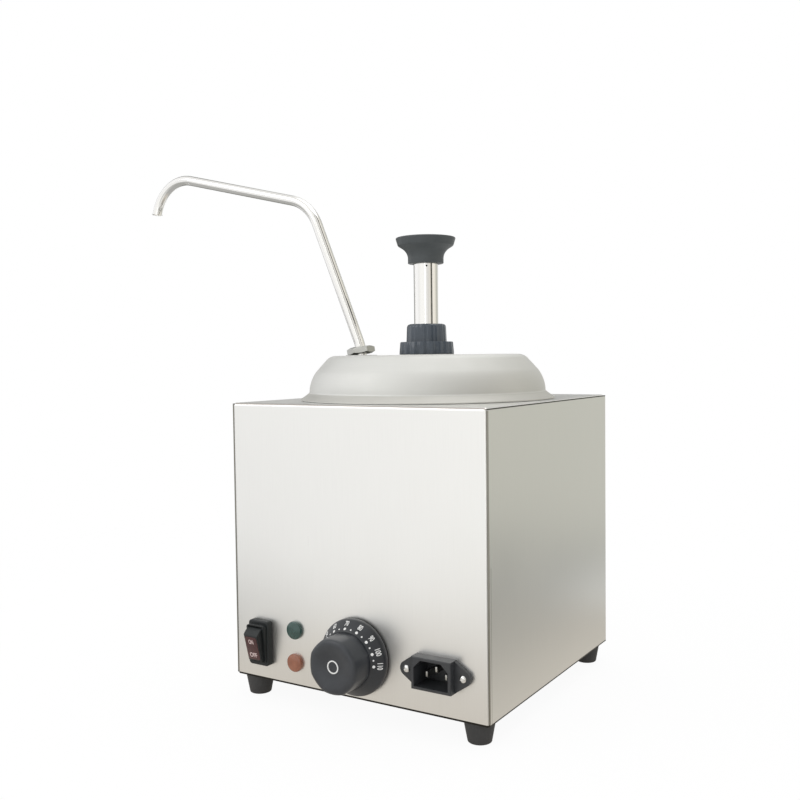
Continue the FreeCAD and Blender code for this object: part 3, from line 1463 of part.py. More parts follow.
inlet = new_body("inlet_body")
sketch = new_sketch(inlet)
half = "inlet_shroud_tall / 2"
outline(sketch, [
    ("ear_reach", "-ear_half", "inlet_ear_radius", 1),
    ("ear_reach", "ear_half"),
    ("ear_shoulder", half),
    ("-ear_shoulder", half),
    ("-ear_reach", "ear_half", "inlet_ear_radius", 1),
    ("-ear_reach", "-ear_half"),
    ("-ear_shoulder", f"-{half}"),
    ("ear_shoulder", f"-{half}"),
])
for side in (-1, 1):
    circle(sketch, f"{side} * inlet_screw_pitch / 2", 0, "inlet_screw_radius + hole_clearance")
pad(sketch, "inlet_ear_thick")
sketch = new_sketch(inlet)
rectangle(sketch, 0, 0, "inlet_shroud_wide", "inlet_shroud_tall")
pad(sketch, "inlet_shroud_deep")
rounded(inlet, "inlet_shroud_edge", front_edge("inlet_shroud_deep"))
sketch = new_sketch(inlet)
rectangle(sketch, 0, 0, "inlet_body_wide", "inlet_body_tall")
pad(sketch, "inlet_body_deep", back=True)
sketch = new_sketch(inlet, level="inlet_shroud_deep")
wide, tall = "inlet_mouth_wide / 2", "inlet_mouth_tall / 2"
outline(sketch, [
    (f"-{wide}", f"-{tall}"),
    (wide, f"-{tall}"),
    (wide, f"{tall} - inlet_mouth_chamfer"),
    (f"{wide} - inlet_mouth_chamfer", tall),
    (f"-{wide} + inlet_mouth_chamfer", tall),
    (f"-{wide}", f"{tall} - inlet_mouth_chamfer"),
])
pocket(sketch, "inlet_mouth_deep")
PIN_PLACES = (("-pin_pitch / 2", "-pin_offset"), ("pin_pitch / 2", "-pin_offset"), (0, "pin_offset"))
sketch = new_sketch(inlet, level="inlet_shroud_deep - inlet_mouth_deep")
for across, up in PIN_PLACES:
    rectangle(sketch, across, up, "pin_wide", "pin_tall")
pocket(sketch, "inlet_body_deep + inlet_shroud_deep - inlet_mouth_deep + overrun")

pins = new_body("inlet_pins")
sketch = new_sketch(pins, level="inlet_shroud_deep - pin_sink")
for across, up in PIN_PLACES:
    rectangle(sketch, across, up, "pin_wide", "pin_tall")
pad(sketch, "inlet_shroud_deep - pin_sink + inlet_body_deep + pin_tail", back=True)

screws = new_body("inlet_screws")
for radius, long, back in (("inlet_head_radius", "inlet_head_tall", False),
                           ("inlet_screw_radius", "inlet_screw_long", True)):
    sketch = new_sketch(screws, level="inlet_ear_thick")
    for side in (-1, 1):
        circle(sketch, f"{side} * inlet_screw_pitch / 2", 0, radius)
    pad(sketch, long, back=back)

nuts = new_body("inlet_nuts")
sketch = new_sketch(nuts, level="-sheet_thick")
for side in (-1, 1):
    hexagon(sketch, f"{side} * inlet_screw_pitch / 2", 0, "inlet_nut_flats")
    circle(sketch, f"{side} * inlet_screw_pitch / 2", 0, "inlet_screw_radius")
pad(sketch, "inlet_nut_tall", back=True)
for piece in (inlet, pins, screws, nuts):
    on_panel(piece, "inlet_across", "inlet_up")

# Earth stud on the base

stud = new_body("earth_stud")
sketch = new_sketch(stud)
circle(sketch, 0, 0, "stud_radius")
pad(sketch, "stud_tall")
nut = new_body("earth_nut")
sketch = new_sketch(nut, level="stud_nut_rise")
hexagon(sketch, 0, 0, "stud_nut_flats")
circle(sketch, 0, 0, "stud_radius")
pad(sketch, "stud_nut_tall")
for piece in (stud, nut):
    place(piece, "stud_across", "stud_back", "floor_top")

# Every piece is checked before any file is written

doc.recompute()
for thing in doc.Objects:
    if {"Invalid", "Error"} & set(thing.State):
        raise RuntimeError(f"{thing.Name} failed: {thing.State}")
for cut in cuts:
    before, after = cut.BaseFeature.Shape.Volume, cut.Shape.Volume
    if after >= before:
        raise RuntimeError(f"{cut.Name} removes nothing")
for piece in nodes:
    if piece.Shape.isNull() or not piece.Shape.isValid() or piece.Shape.Volume <= 0:
        raise RuntimeError(f"{piece.Label} has no valid shape")

os.makedirs("parts", exist_ok=True)
for piece in nodes:
    piece.Shape.exportStep(f"parts/{piece.Label}.step")
print(len(nodes), "pieces")
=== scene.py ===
# %% [markdown]
# # A topping warmer with a hand pump
# This lesson dresses a square steel food warmer: a brushed casing with a water bath, a domed lid with a
# plunger pump and a long bent spout, and a row of controls on the front. The imported model gives every
# piece its place. Here each surface gets its finish, and the pieces that show most get finer shapes.

# %% The frame
import math

import bmesh
import bpy
from mathutils import Matrix, Vector


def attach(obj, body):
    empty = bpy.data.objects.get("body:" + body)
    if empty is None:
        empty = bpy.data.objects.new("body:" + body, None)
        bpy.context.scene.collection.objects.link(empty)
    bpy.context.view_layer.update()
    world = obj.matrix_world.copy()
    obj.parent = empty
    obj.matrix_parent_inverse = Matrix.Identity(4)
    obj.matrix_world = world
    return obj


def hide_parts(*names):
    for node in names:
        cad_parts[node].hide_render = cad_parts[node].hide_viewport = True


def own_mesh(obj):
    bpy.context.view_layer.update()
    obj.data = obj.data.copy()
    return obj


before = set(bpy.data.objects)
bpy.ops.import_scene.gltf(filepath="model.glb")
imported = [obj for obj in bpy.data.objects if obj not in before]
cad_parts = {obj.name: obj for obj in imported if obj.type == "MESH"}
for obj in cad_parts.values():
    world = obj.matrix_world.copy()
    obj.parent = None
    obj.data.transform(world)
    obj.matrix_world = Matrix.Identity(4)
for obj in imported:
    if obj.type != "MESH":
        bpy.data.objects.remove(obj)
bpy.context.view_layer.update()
print("frame with", len(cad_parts), "nodes")

# %% [markdown]
# ## The camera
# The picture was taken from the right of the front, a little above the middle of the casing. The camera
# stands at the distance and with the lens at which the casing's edges run as they do in the picture.
# A small roll levels the casing's lower edge.

# %% The camera
CAMERA_PLACE = (0.35162, -0.59696, 0.23624)
CAMERA_HEADING = 0.561247
CAMERA_DIP = 0.0449596
CAMERA_ROLL = -0.0122533
CAMERA_LENS_MM = 42.43

bpy.ops.object.camera_add(location=CAMERA_PLACE)
camera = bpy.context.object
heading = Matrix.Rotation(CAMERA_HEADING, 4, "Z")
dip = Matrix.Rotation(math.pi / 2 - CAMERA_DIP, 4, "X")
roll = Matrix.Rotation(CAMERA_ROLL, 4, "Z")
camera.rotation_euler = (heading @ dip @ roll).to_euler()
camera.data.lens = CAMERA_LENS_MM
bpy.context.scene.camera = camera
print("camera looks along", camera.matrix_basis.to_3x3() @ Vector((0, 0, -1)))

# %% [markdown]
# ## Light
# Polished steel shows what stands round it more than its own colour, so the surroundings matter as much
# as the lamps. A panorama of soft tones goes round the horizon: bright on the front left, where the
# front panel looks, and grey on the right, with two dark strips that draw the thin lines on the bright
# tubes. A leaning or bent tube mirrors what lies above or below the horizon, so a few soft patches stand
# there for the spout. The camera itself sees plain white.


# %% Helpers for node trees
def fill(node, **values):
    """Gives a node its values. A name means a property, or else the input socket of that name."""
    for name, value in values.items():
        if hasattr(node, name):
            setattr(node, name, value)
        else:
            node.inputs[name.replace("_", " ")].default_value = value
    return node


def node_in(tree, kind, **values):
    """Adds a node with its values to a tree."""
    return fill(tree.nodes.new(kind), **values)


def join(tree, out_of, into):
    """Links a socket to a socket."""
    tree.links.new(out_of, into)


def blend(tree, value, low, high, first=0.0, last=1.0):
    """Maps a value smoothly from one range to another."""
    node = node_in(tree, "ShaderNodeMapRange", interpolation_type="SMOOTHSTEP",
                   From_Min=low, From_Max=high, To_Min=first, To_Max=last)
    join(tree, value, node.inputs["Value"])
    return node.outputs[0]


def mixed(tree, factor, first, second):
    """Mixes two colours by a factor. A colour is a tuple or an output."""
    mix = node_in(tree, "ShaderNodeMix", data_type="RGBA")
    join(tree, factor, mix.inputs["Factor"])
    for label, colour in (("A", first), ("B", second)):
        if isinstance(colour, tuple):
            mix.inputs[label].default_value = (*colour, 1)
        else:
            join(tree, colour, mix.inputs[label])
    return mix.outputs["Result"]


def combined(tree, operation, first, second, kind="Math"):
    """Combines two values, or two vectors, with a maths node."""
    node = node_in(tree, f"ShaderNode{kind}", operation=operation)
    join(tree, first, node.inputs[0])
    join(tree, second, node.inputs[1])
    return node.outputs[0]


def mixed_shader(tree, factor, first, second):
    """Mixes two shaders by a factor."""
    node = node_in(tree, "ShaderNodeMixShader")
    for socket, output in zip(node.inputs, (factor, first, second)):
        join(tree, output, socket)
    return node.outputs[0]


def new_material(name, **values):
    """Starts a material and gives its tree, its shader with some values, and its coordinates."""
    material = bpy.data.materials.new(name)
    material.use_nodes = True
    tree = material.node_tree
    shader = fill(tree.nodes["Principled BSDF"], **values)
    return material, tree, shader, node_in(tree, "ShaderNodeTexCoord").outputs["Object"]


# %% The panorama
# Each stop is a compass angle in degrees, counted from +X towards +Y, and a tone
PANORAMA = [
    (-180, (1.07, 1.07, 1.08)),
    (-155, (1.07, 1.07, 1.08)),
    (-128, (0.98, 0.98, 0.975)),
    (-112, (1.08, 1.08, 1.065)),
    (-80, (1.09, 1.09, 1.07)),
    (-72, (0.92, 0.92, 0.91)),
    (-70, (2.40, 2.40, 2.38)),
    (-67, (2.40, 2.40, 2.38)),
    (-65, (0.86, 0.86, 0.85)),
    (-58, (1.00, 1.00, 0.99)),
    (-40, (0.76, 0.75, 0.72)),
    (-28, (0.88, 0.86, 0.81)),
    (-15, (0.70, 0.67, 0.60)),
    (-11, (0.05, 0.05, 0.04)),
    (0, (0.06, 0.06, 0.05)),
    (4, (1.00, 0.96, 0.88)),
    (34, (0.92, 0.89, 0.80)),
    (50, (0.59, 0.58, 0.52)),
    (72, (0.58, 0.58, 0.525)),
    (96, (0.98, 0.98, 0.97)),
    (124, (1.06, 1.06, 1.05)),
    (134, (0.12, 0.12, 0.11)),
    (154, (0.14, 0.14, 0.13)),
    (164, (0.96, 0.96, 0.96)),
    (180, (1.07, 1.07, 1.08)),
]
FULL_TURN = 360
# Patches off the horizon: from angle, to angle, from height, to height (both -1 to 1) and a tone
PATCHES = [
    (-190, -143, -0.52, -0.12, (0.50, 0.50, 0.49)),
    (-66, -52, 0.20, 0.75, (0.48, 0.48, 0.46)),
    (-15, 4, 0.46, 0.86, (0.05, 0.05, 0.04)),
    (98, 127, 0.12, 0.42, (0.14, 0.14, 0.13)),
]
# How far a patch fades, as a share of a turn and in height
FADE_ASIDE, FADE_UP = 0.006, 0.06
# The tones above and below, and between which heights the panorama turns into them
ABOVE_TONE, ABOVE_FROM, ABOVE_TO = (0.92, 0.92, 0.91), 0.5, 0.95
BELOW_TONE, BELOW_TO, BELOW_FROM = (0.42, 0.42, 0.40), -0.6, -0.25
# The even tone that lights all that isn't mirrored
ROOM_TONE, ROOM_STRENGTH = (0.94, 0.94, 0.93, 1), 0.95


def share_of_turn(angle):
    """Gives a compass angle as a share of the panorama's turn."""
    return (angle + FULL_TURN / 2) / FULL_TURN


def window(value, low, high, soft):
    """Gives one between two limits and fades to zero beyond them."""
    rising = blend(sky, value, low - soft, low)
    return combined(sky, "MULTIPLY", rising, blend(sky, value, high, high + soft, 1.0, 0.0))


world = bpy.data.worlds.new("studio")
bpy.context.scene.world = world
world.use_nodes = True
sky = world.node_tree
sky.nodes.clear()
way = node_in(sky, "ShaderNodeTexCoord")
parts = node_in(sky, "ShaderNodeSeparateXYZ")
join(sky, way.outputs["Generated"], parts.inputs[0])
compass = combined(sky, "ARCTAN2", parts.outputs["Y"], parts.outputs["X"])
share = node_in(sky, "ShaderNodeMapRange", From_Min=-math.pi, From_Max=math.pi)
join(sky, compass, share.inputs["Value"])
ramp = node_in(sky, "ShaderNodeValToRGB")
stops = ramp.color_ramp.elements
for angle, tone in PANORAMA[1:-1]:
    stops.new(share_of_turn(angle))
for stop, (angle, tone) in zip(stops, PANORAMA):
    stop.position = share_of_turn(angle)
    stop.color = (*tone, 1)
join(sky, share.outputs[0], ramp.inputs[0])
height = parts.outputs["Z"]
surroundings = mixed(sky, blend(sky, height, ABOVE_FROM, ABOVE_TO), ramp.outputs[0], ABOVE_TONE)
surroundings = mixed(sky, blend(sky, height, BELOW_TO, BELOW_FROM), BELOW_TONE, surroundings)
for low, high, bottom, top, tone in PATCHES:
    aside = window(share.outputs[0], share_of_turn(low), share_of_turn(high), FADE_ASIDE)
    mask = combined(sky, "MULTIPLY", aside, window(height, bottom, top, FADE_UP))
    surroundings = mixed(sky, mask, surroundings, tone)

# %% What each kind of ray sees
around = node_in(sky, "ShaderNodeBackground")
join(sky, surroundings, around.inputs["Color"])
plain = node_in(sky, "ShaderNodeBackground", Color=(1, 1, 1, 1), Strength=1.0)
soft = node_in(sky, "ShaderNodeBackground", Color=ROOM_TONE, Strength=ROOM_STRENGTH)
rays = node_in(sky, "ShaderNodeLightPath")
mirrored = combined(sky, "MAXIMUM", rays.outputs["Is Glossy Ray"], rays.outputs["Is Transmission Ray"])
shown = mixed_shader(sky, mirrored, soft.outputs[0], around.outputs[0])
shown = mixed_shader(sky, rays.outputs["Is Camera Ray"], shown, plain.outputs[0])
out = node_in(sky, "ShaderNodeOutputWorld")
join(sky, shown, out.inputs["Surface"])
print("panorama of", len(PANORAMA), "tones")

# %% The lamps
# name, place, point that it faces, size in metres and watts
LAMPS = [
    ("key_lamp", (-0.9, -1.3, 1.3), (0, 0, 0.15), 1.0, 5.0),
    ("top_lamp", (0.1, 0.2, 1.5), (0, 0, 0.2), 0.9, 4.0),
]
for name, place, target, side, watts in LAMPS:
    bpy.ops.object.light_add(type="AREA", location=place)
    lamp = bpy.context.object
    lamp.name = name
    lamp.data.energy = watts
    lamp.data.size = side
    lamp.rotation_euler = (Vector(place) - Vector(target)).to_track_quat("Z", "Y").to_euler()
view = bpy.context.scene.view_settings
view.view_transform = "Standard"
print("lamps:", [entry[0] for entry in LAMPS])

# %% [markdown]
# ## The floor
# The floor is white paper that fades out all round, so that no horizon shows. To the camera it is mostly
# white with a light shadow left under the feet. In the steel it looks grey close to the casing and pale
# farther off, as a shaded table does, and that draws the darker band along the foot of each panel.

# %% The floor
FLOOR_RADIUS = 1.6
FLOOR_FADE = (0.34, 0.8)
PAPER_TONE = (0.93, 0.93, 0.93, 1)
PAPER_WHITE = 0.94
# The tones that the steel sees: near, far off, on the right and on the left at the back
NEAR_TONE, FAR_TONE = (0.65, 0.61, 0.55), (0.99, 0.99, 0.975)
RIGHT_TONE, LEFT_TONE = (0.25, 0.25, 0.235), (0.46, 0.46, 0.45)
# Where one tone turns into the next, in metres from the middle, along X or along Y
NEAR_TO_FAR, TO_RIGHT = (0.24, 0.37), (0.10, 0.30)
LEFT_PART, BACK_PART = (-0.26, -0.13), (-0.38, -0.28)

bpy.ops.object.select_all(action="DESELECT")
bpy.ops.mesh.primitive_circle_add(vertices=96, radius=FLOOR_RADIUS, fill_type="NGON")
floor = bpy.context.object
floor.name = "floor"
paper, tree, body, spot = new_material("floor_paper", Base_Color=PAPER_TONE, Roughness=0.85,
                                       Specular_IOR_Level=0.1)
reach = node_in(tree, "ShaderNodeVectorMath", operation="LENGTH")
join(tree, spot, reach.inputs[0])
beside = node_in(tree, "ShaderNodeSeparateXYZ")
join(tree, spot, beside.inputs[0])
light_path = node_in(tree, "ShaderNodeLightPath")
ahead = mixed(tree, blend(tree, reach.outputs["Value"], *NEAR_TO_FAR), NEAR_TONE, FAR_TONE)
ahead = mixed(tree, blend(tree, beside.outputs["X"], *TO_RIGHT), ahead, RIGHT_TONE)
leftward = blend(tree, beside.outputs["X"], *LEFT_PART, 1.0, 0.0)
corner = combined(tree, "MULTIPLY", leftward, blend(tree, beside.outputs["Y"], *BACK_PART))
ahead = mixed(tree, corner, ahead, LEFT_TONE)
seen_in_steel = node_in(tree, "ShaderNodeEmission")
join(tree, ahead, seen_in_steel.inputs["Color"])
white = node_in(tree, "ShaderNodeEmission", Color=(1, 1, 1, 1), Strength=1.0)
part_white = node_in(tree, "ShaderNodeMath", operation="MULTIPLY")
join(tree, light_path.outputs["Is Camera Ray"], part_white.inputs[0])
part_white.inputs[1].default_value = PAPER_WHITE
lit = mixed_shader(tree, part_white.outputs[0], body.outputs[0], white.outputs[0])
lit = mixed_shader(tree, light_path.outputs["Is Glossy Ray"], lit, seen_in_steel.outputs[0])
clear = node_in(tree, "ShaderNodeBsdfTransparent")
close_by = blend(tree, reach.outputs["Value"], *FLOOR_FADE, 1.0, 0.0)
faded = mixed_shader(tree, close_by, clear.outputs[0], lit)
join(tree, faded, tree.nodes["Material Output"].inputs["Surface"])
floor.data.materials.append(paper)
print("floor fades between", FLOOR_FADE, "metres")

# %% [markdown]
# ## Finishes
# A finish is more than a colour. Brushed steel has a fine grain that runs one way and spreads its
# gloss, moulded plastic has a faint orange-peel and scuffs, and every handled surface has dull patches.
# These effects are shader groups with named inputs, used by many materials with their own values.


# %% A group for brushed grain
def new_group(name, inputs, outputs):
    """Starts a shader group. Its inputs are a vector and what is given by name and value."""
    group = bpy.data.node_groups.new(name, "ShaderNodeTree")
    for label, value in {"Vector": (0, 0, 0), **inputs}.items():
        kind = "Float" if isinstance(value, float) else "Vector"
        socket = group.interface.new_socket(label, in_out="INPUT", socket_type=f"NodeSocket{kind}")
        socket.default_value = value
    for label in outputs:
        group.interface.new_socket(label, in_out="OUTPUT", socket_type="NodeSocketFloat")
    return group, group.nodes.new("NodeGroupInput"), group.nodes.new("NodeGroupOutput")


grain_group, start, end = new_group("brushed_grain", {"Stretch": (1, 1, 1), "Fineness": 900.0}, ["Grain"])
stretch = combined(grain_group, "MULTIPLY", start.outputs["Vector"], start.outputs["Stretch"], "VectorMath")
lines = node_in(grain_group, "ShaderNodeTexNoise", Detail=4.0, Roughness=0.65)
join(grain_group, stretch, lines.inputs["Vector"])
join(grain_group, start.outputs["Fineness"], lines.inputs["Scale"])
join(grain_group, lines.outputs["Fac"], end.inputs["Grain"])


# %% A group for dull patches
patch_group, start, end = new_group(
    "dull_patches", {"Scale": 30.0, "Low": 0.2, "High": 0.3}, ["Value", "Mask"])
cloud = node_in(patch_group, "ShaderNodeTexNoise", Detail=5.0, Roughness=0.6)
join(patch_group, start.outputs["Vector"], cloud.inputs["Vector"])
join(patch_group, start.outputs["Scale"], cloud.inputs["Scale"])
spread = blend(patch_group, cloud.outputs["Fac"], 0.3, 0.7)
level = node_in(patch_group, "ShaderNodeMapRange")
join(patch_group, spread, level.inputs["Value"])
join(patch_group, start.outputs["Low"], level.inputs["To Min"])
join(patch_group, start.outputs["High"], level.inputs["To Max"])
join(patch_group, level.outputs[0], end.inputs["Value"])
join(patch_group, spread, end.inputs["Mask"])


# %% A group that finds a box
box_group, start, end = new_group(
    "inside_box", {"Low": (0, 0, 0), "High": (1, 1, 1), "Edge": 0.0002}, ["Mask"])
place = start.outputs["Vector"]
above = combined(box_group, "SUBTRACT", place, start.outputs["Low"], "VectorMath")
below = combined(box_group, "SUBTRACT", start.outputs["High"], place, "VectorMath")
within = combined(box_group, "MINIMUM", above, below, "VectorMath")
sides = node_in(box_group, "ShaderNodeSeparateXYZ")
join(box_group, within, sides.inputs[0])
nearest = combined(box_group, "MINIMUM", sides.outputs["X"], sides.outputs["Y"])
nearest = combined(box_group, "MINIMUM", nearest, sides.outputs["Z"])
soft_edge = node_in(box_group, "ShaderNodeMapRange", interpolation_type="SMOOTHSTEP")
join(box_group, nearest, soft_edge.inputs["Value"])
join(box_group, start.outputs["Edge"], soft_edge.inputs["From Max"])
join(box_group, soft_edge.outputs[0], end.inputs["Mask"])


# %% Makers of materials
# How much the grain adds to the roughness, and how deep grain and skin are in metres
GRAIN_SHARE, GRAIN_DEEP, SKIN_DEEP = 0.10, 0.0004, 0.0002


def use_group(tree, group, vector, **values):
    """Places a shader group in a material."""
    node = node_in(tree, "ShaderNodeGroup", node_tree=group, **values)
    join(tree, vector, node.inputs["Vector"])
    return node


def add_bump(tree, shader, height, strength, distance):
    """Feeds a height into the shader's normal."""
    bump = node_in(tree, "ShaderNodeBump", Strength=strength, Distance=distance)
    join(tree, height, bump.inputs["Height"])
    join(tree, bump.outputs["Normal"], shader.inputs["Normal"])


def brushed_steel(name, colours, stretch, fineness, rough, patches, bump):
    """Makes steel with a grain along the axis whose stretch is small."""
    material, tree, shader, where = new_material(name, Metallic=1.0)
    grain = use_group(tree, grain_group, where, Stretch=stretch, Fineness=fineness)
    dull = use_group(tree, patch_group, where, Scale=patches, Low=rough[0], High=rough[1])
    sum_up = node_in(tree, "ShaderNodeMath", operation="MULTIPLY_ADD")
    join(tree, grain.outputs["Grain"], sum_up.inputs[0])
    sum_up.inputs[1].default_value = GRAIN_SHARE
    join(tree, dull.outputs["Value"], sum_up.inputs[2])
    join(tree, sum_up.outputs[0], shader.inputs["Roughness"])
    join(tree, mixed(tree, grain.outputs["Grain"], *colours), shader.inputs["Base Color"])
    add_bump(tree, shader, grain.outputs["Grain"], bump, GRAIN_DEEP)
    return material


def draw_seams(material, shade_lines):
    """Paints shade into thin boxes of a material: lines of painted shadow and painted shade at gaps, folds
    and edges. A box is two corners in millimetres and a tone.
    """
    tree = material.node_tree
    shader = tree.nodes["Principled BSDF"]
    where = node_in(tree, "ShaderNodeTexCoord").outputs["Object"]
    colour = shader.inputs["Base Color"].links[0].from_socket
    for low, high, tone in shade_lines:
        box = use_group(tree, box_group, where, Low=Vector(low) / 1000, High=Vector(high) / 1000)
        colour = mixed(tree, box.outputs["Mask"], colour, tone)
    join(tree, colour, shader.inputs["Base Color"])


def moulded(name, colours, rough, bump=0.15, grain=900.0, coat=0.0, patches=55.0):
    """Makes moulded plastic or rubber with a fine skin and dull patches."""
    material, tree, shader, where = new_material(name, Coat_Weight=coat)
    dull = use_group(tree, patch_group, where, Scale=patches, Low=rough[0], High=rough[1])
    join(tree, dull.outputs["Value"], shader.inputs["Roughness"])
    join(tree, mixed(tree, dull.outputs["Mask"], *colours), shader.inputs["Base Color"])
    skin = node_in(tree, "ShaderNodeTexNoise", Scale=grain, Detail=2.0)
    join(tree, where, skin.inputs["Vector"])
    add_bump(tree, shader, skin.outputs["Fac"], bump, SKIN_DEEP)
    return material


# %% The metals
UPRIGHT_GRAIN = (1.0, 1.0, 0.02)
LEVEL_GRAIN = (0.02, 0.02, 1.0)
EVEN_GRAIN = (1.0, 1.0, 1.0)
casing_steel = brushed_steel("casing_steel", ((0.825, 0.82, 0.80), (0.885, 0.88, 0.86)),
                             UPRIGHT_GRAIN, 1500.0, (0.24, 0.32), 9.0, 0.05)
side_steel = brushed_steel("side_steel", ((0.79, 0.79, 0.765), (0.85, 0.85, 0.82)),
                           UPRIGHT_GRAIN, 1500.0, (0.24, 0.32), 9.0, 0.05)
# Painted shade on the casing: a thin darker line along the front panel's top fold, and a near-black painted
# shadow line along the bottom edge.
draw_seams(casing_steel, [
    ((-101, -99.8, 204.8), (101, -98.8, 205.9), (0.50, 0.46, 0.43)),
    ((-101, -101, 13), (101, 101, 15.3), (0.035, 0.033, 0.03)),
])
# Painted shade on the side panels: a near-black painted shadow line along the top edge, a grey painted
# shade line along the front edge, a faint darker line a little behind it on the lower half, and a dark
# painted shadow line along the bottom.
draw_seams(side_steel, [
    ((-101, -100, 204.6), (101, 100, 206), (0.045, 0.042, 0.036)),
    ((-101, -100, 14), (101, -98.95, 204.6), (0.26, 0.25, 0.22)),
    ((-101, -97.5, 14), (101, -96.8, 110), (0.42, 0.41, 0.37)),
    ((-101, -100, 14), (101, 100, 15.6), (0.05, 0.048, 0.044)),
])
lid_steel = brushed_steel("lid_steel", ((0.65, 0.65, 0.63), (0.71, 0.71, 0.69)),
                          LEVEL_GRAIN, 1500.0, (0.54, 0.64), 14.0, 0.05)
# Painted shade: a band of darker tone over the lid's brim and cone, in place of a duller reflection.
draw_seams(lid_steel, [((-95, -95, 206.4), (95, 95, 211.4), (0.57, 0.565, 0.535))])
tube_steel = brushed_steel("tube_steel", ((0.84, 0.83, 0.81), (0.90, 0.89, 0.87)),
                           UPRIGHT_GRAIN, 1200.0, (0.05, 0.11), 25.0, 0.02)
satin_steel = brushed_steel("satin_steel", ((0.46, 0.46, 0.44), (0.54, 0.54, 0.51)),
                            EVEN_GRAIN, 900.0, (0.22, 0.34), 40.0, 0.04)
pot_steel = brushed_steel("pot_steel", ((0.66, 0.66, 0.64), (0.72, 0.72, 0.70)),
                          LEVEL_GRAIN, 1200.0, (0.25, 0.34), 14.0, 0.05)
bright_plate = brushed_steel("bright_plate", ((0.80, 0.80, 0.79), (0.84, 0.84, 0.83)),
                             EVEN_GRAIN, 900.0, (0.08, 0.16), 60.0, 0.02)
zinc_plate = brushed_steel("zinc_plate", ((0.58, 0.59, 0.58), (0.66, 0.66, 0.63)),
                           EVEN_GRAIN, 700.0, (0.30, 0.45), 60.0, 0.08)
heater_sheath = brushed_steel("heater_sheath", ((0.36, 0.35, 0.33), (0.44, 0.42, 0.39)),
                              EVEN_GRAIN, 600.0, (0.42, 0.58), 40.0, 0.10)
turned_brass = brushed_steel("turned_brass", ((0.72, 0.52, 0.24), (0.80, 0.60, 0.30)),
                             EVEN_GRAIN, 700.0, (0.20, 0.32), 50.0, 0.05)
print("metals made")

# %% The plastics and rubber
collar_plastic = moulded("collar_plastic", ((0.050, 0.063, 0.081), (0.063, 0.078, 0.098)), (0.13, 0.20))
knob_plastic = moulded("knob_plastic", ((0.050, 0.058, 0.062), (0.062, 0.070, 0.074)), (0.42, 0.55))
dial_plastic = moulded("dial_plastic", ((0.028, 0.031, 0.037), (0.038, 0.042, 0.049)), (0.30, 0.42))
cone_plastic = moulded("cone_plastic", ((0.018, 0.020, 0.024), (0.026, 0.029, 0.034)), (0.32, 0.44))
switch_plastic = moulded("switch_plastic", ((0.006, 0.009, 0.010), (0.011, 0.014, 0.015)), (0.50, 0.62))
inlet_plastic = moulded("inlet_plastic", ((0.028, 0.030, 0.033), (0.039, 0.041, 0.045)), (0.32, 0.46))
rocker_red = moulded("rocker_red", ((0.050, 0.014, 0.015), (0.068, 0.019, 0.020)), (0.12, 0.2),
                     bump=0.03, grain=400.0, coat=0.2)
foot_rubber = moulded("foot_rubber", ((0.034, 0.034, 0.035), (0.048, 0.047, 0.047)), (0.60, 0.78),
                      bump=0.4, grain=500.0)
pump_plastic = moulded("pump_plastic", ((0.74, 0.73, 0.69), (0.80, 0.79, 0.75)), (0.30, 0.42))
seal_rubber = moulded("seal_rubber", ((0.36, 0.36, 0.33), (0.43, 0.43, 0.40)), (0.45, 0.60),
                      bump=0.2, grain=600.0)
inner_plastic = moulded("inner_plastic", ((0.10, 0.10, 0.10), (0.14, 0.14, 0.13)), (0.40, 0.55))
letter_pink = moulded("letter_pink", ((0.62, 0.48, 0.46), (0.70, 0.56, 0.54)), (0.45, 0.55), 0.05)
mark_white = moulded("mark_white", ((0.80, 0.80, 0.79), (0.86, 0.86, 0.85)), (0.45, 0.55), 0.05)


def lens_plastic(name, light, deep, rough=(0.16, 0.24), patches=120.0, ribs_fine=260.0):
    """Makes a coloured lamp lens: clear at its face, with a darker body below."""
    material, tree, shader, where = new_material(name, Transmission_Weight=0.25, IOR=1.49, Coat_Weight=0.5)
    ribs = node_in(tree, "ShaderNodeTexNoise", Scale=ribs_fine, Detail=3.0)
    join(tree, where, ribs.inputs["Vector"])
    join(tree, mixed(tree, ribs.outputs["Fac"], light, deep), shader.inputs["Base Color"])
    dull = use_group(tree, patch_group, where, Scale=patches, Low=rough[0], High=rough[1])
    join(tree, dull.outputs["Value"], shader.inputs["Roughness"])
    return material


green_lens = lens_plastic("green_lens", (0.050, 0.128, 0.113), (0.010, 0.044, 0.038))
red_lens = lens_plastic("red_lens", (0.51, 0.20, 0.11), (0.23, 0.072, 0.042))
print("plastics made")

# %% [markdown]
# ## The pieces of the frame
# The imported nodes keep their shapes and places. Each one takes the finish of its real material.

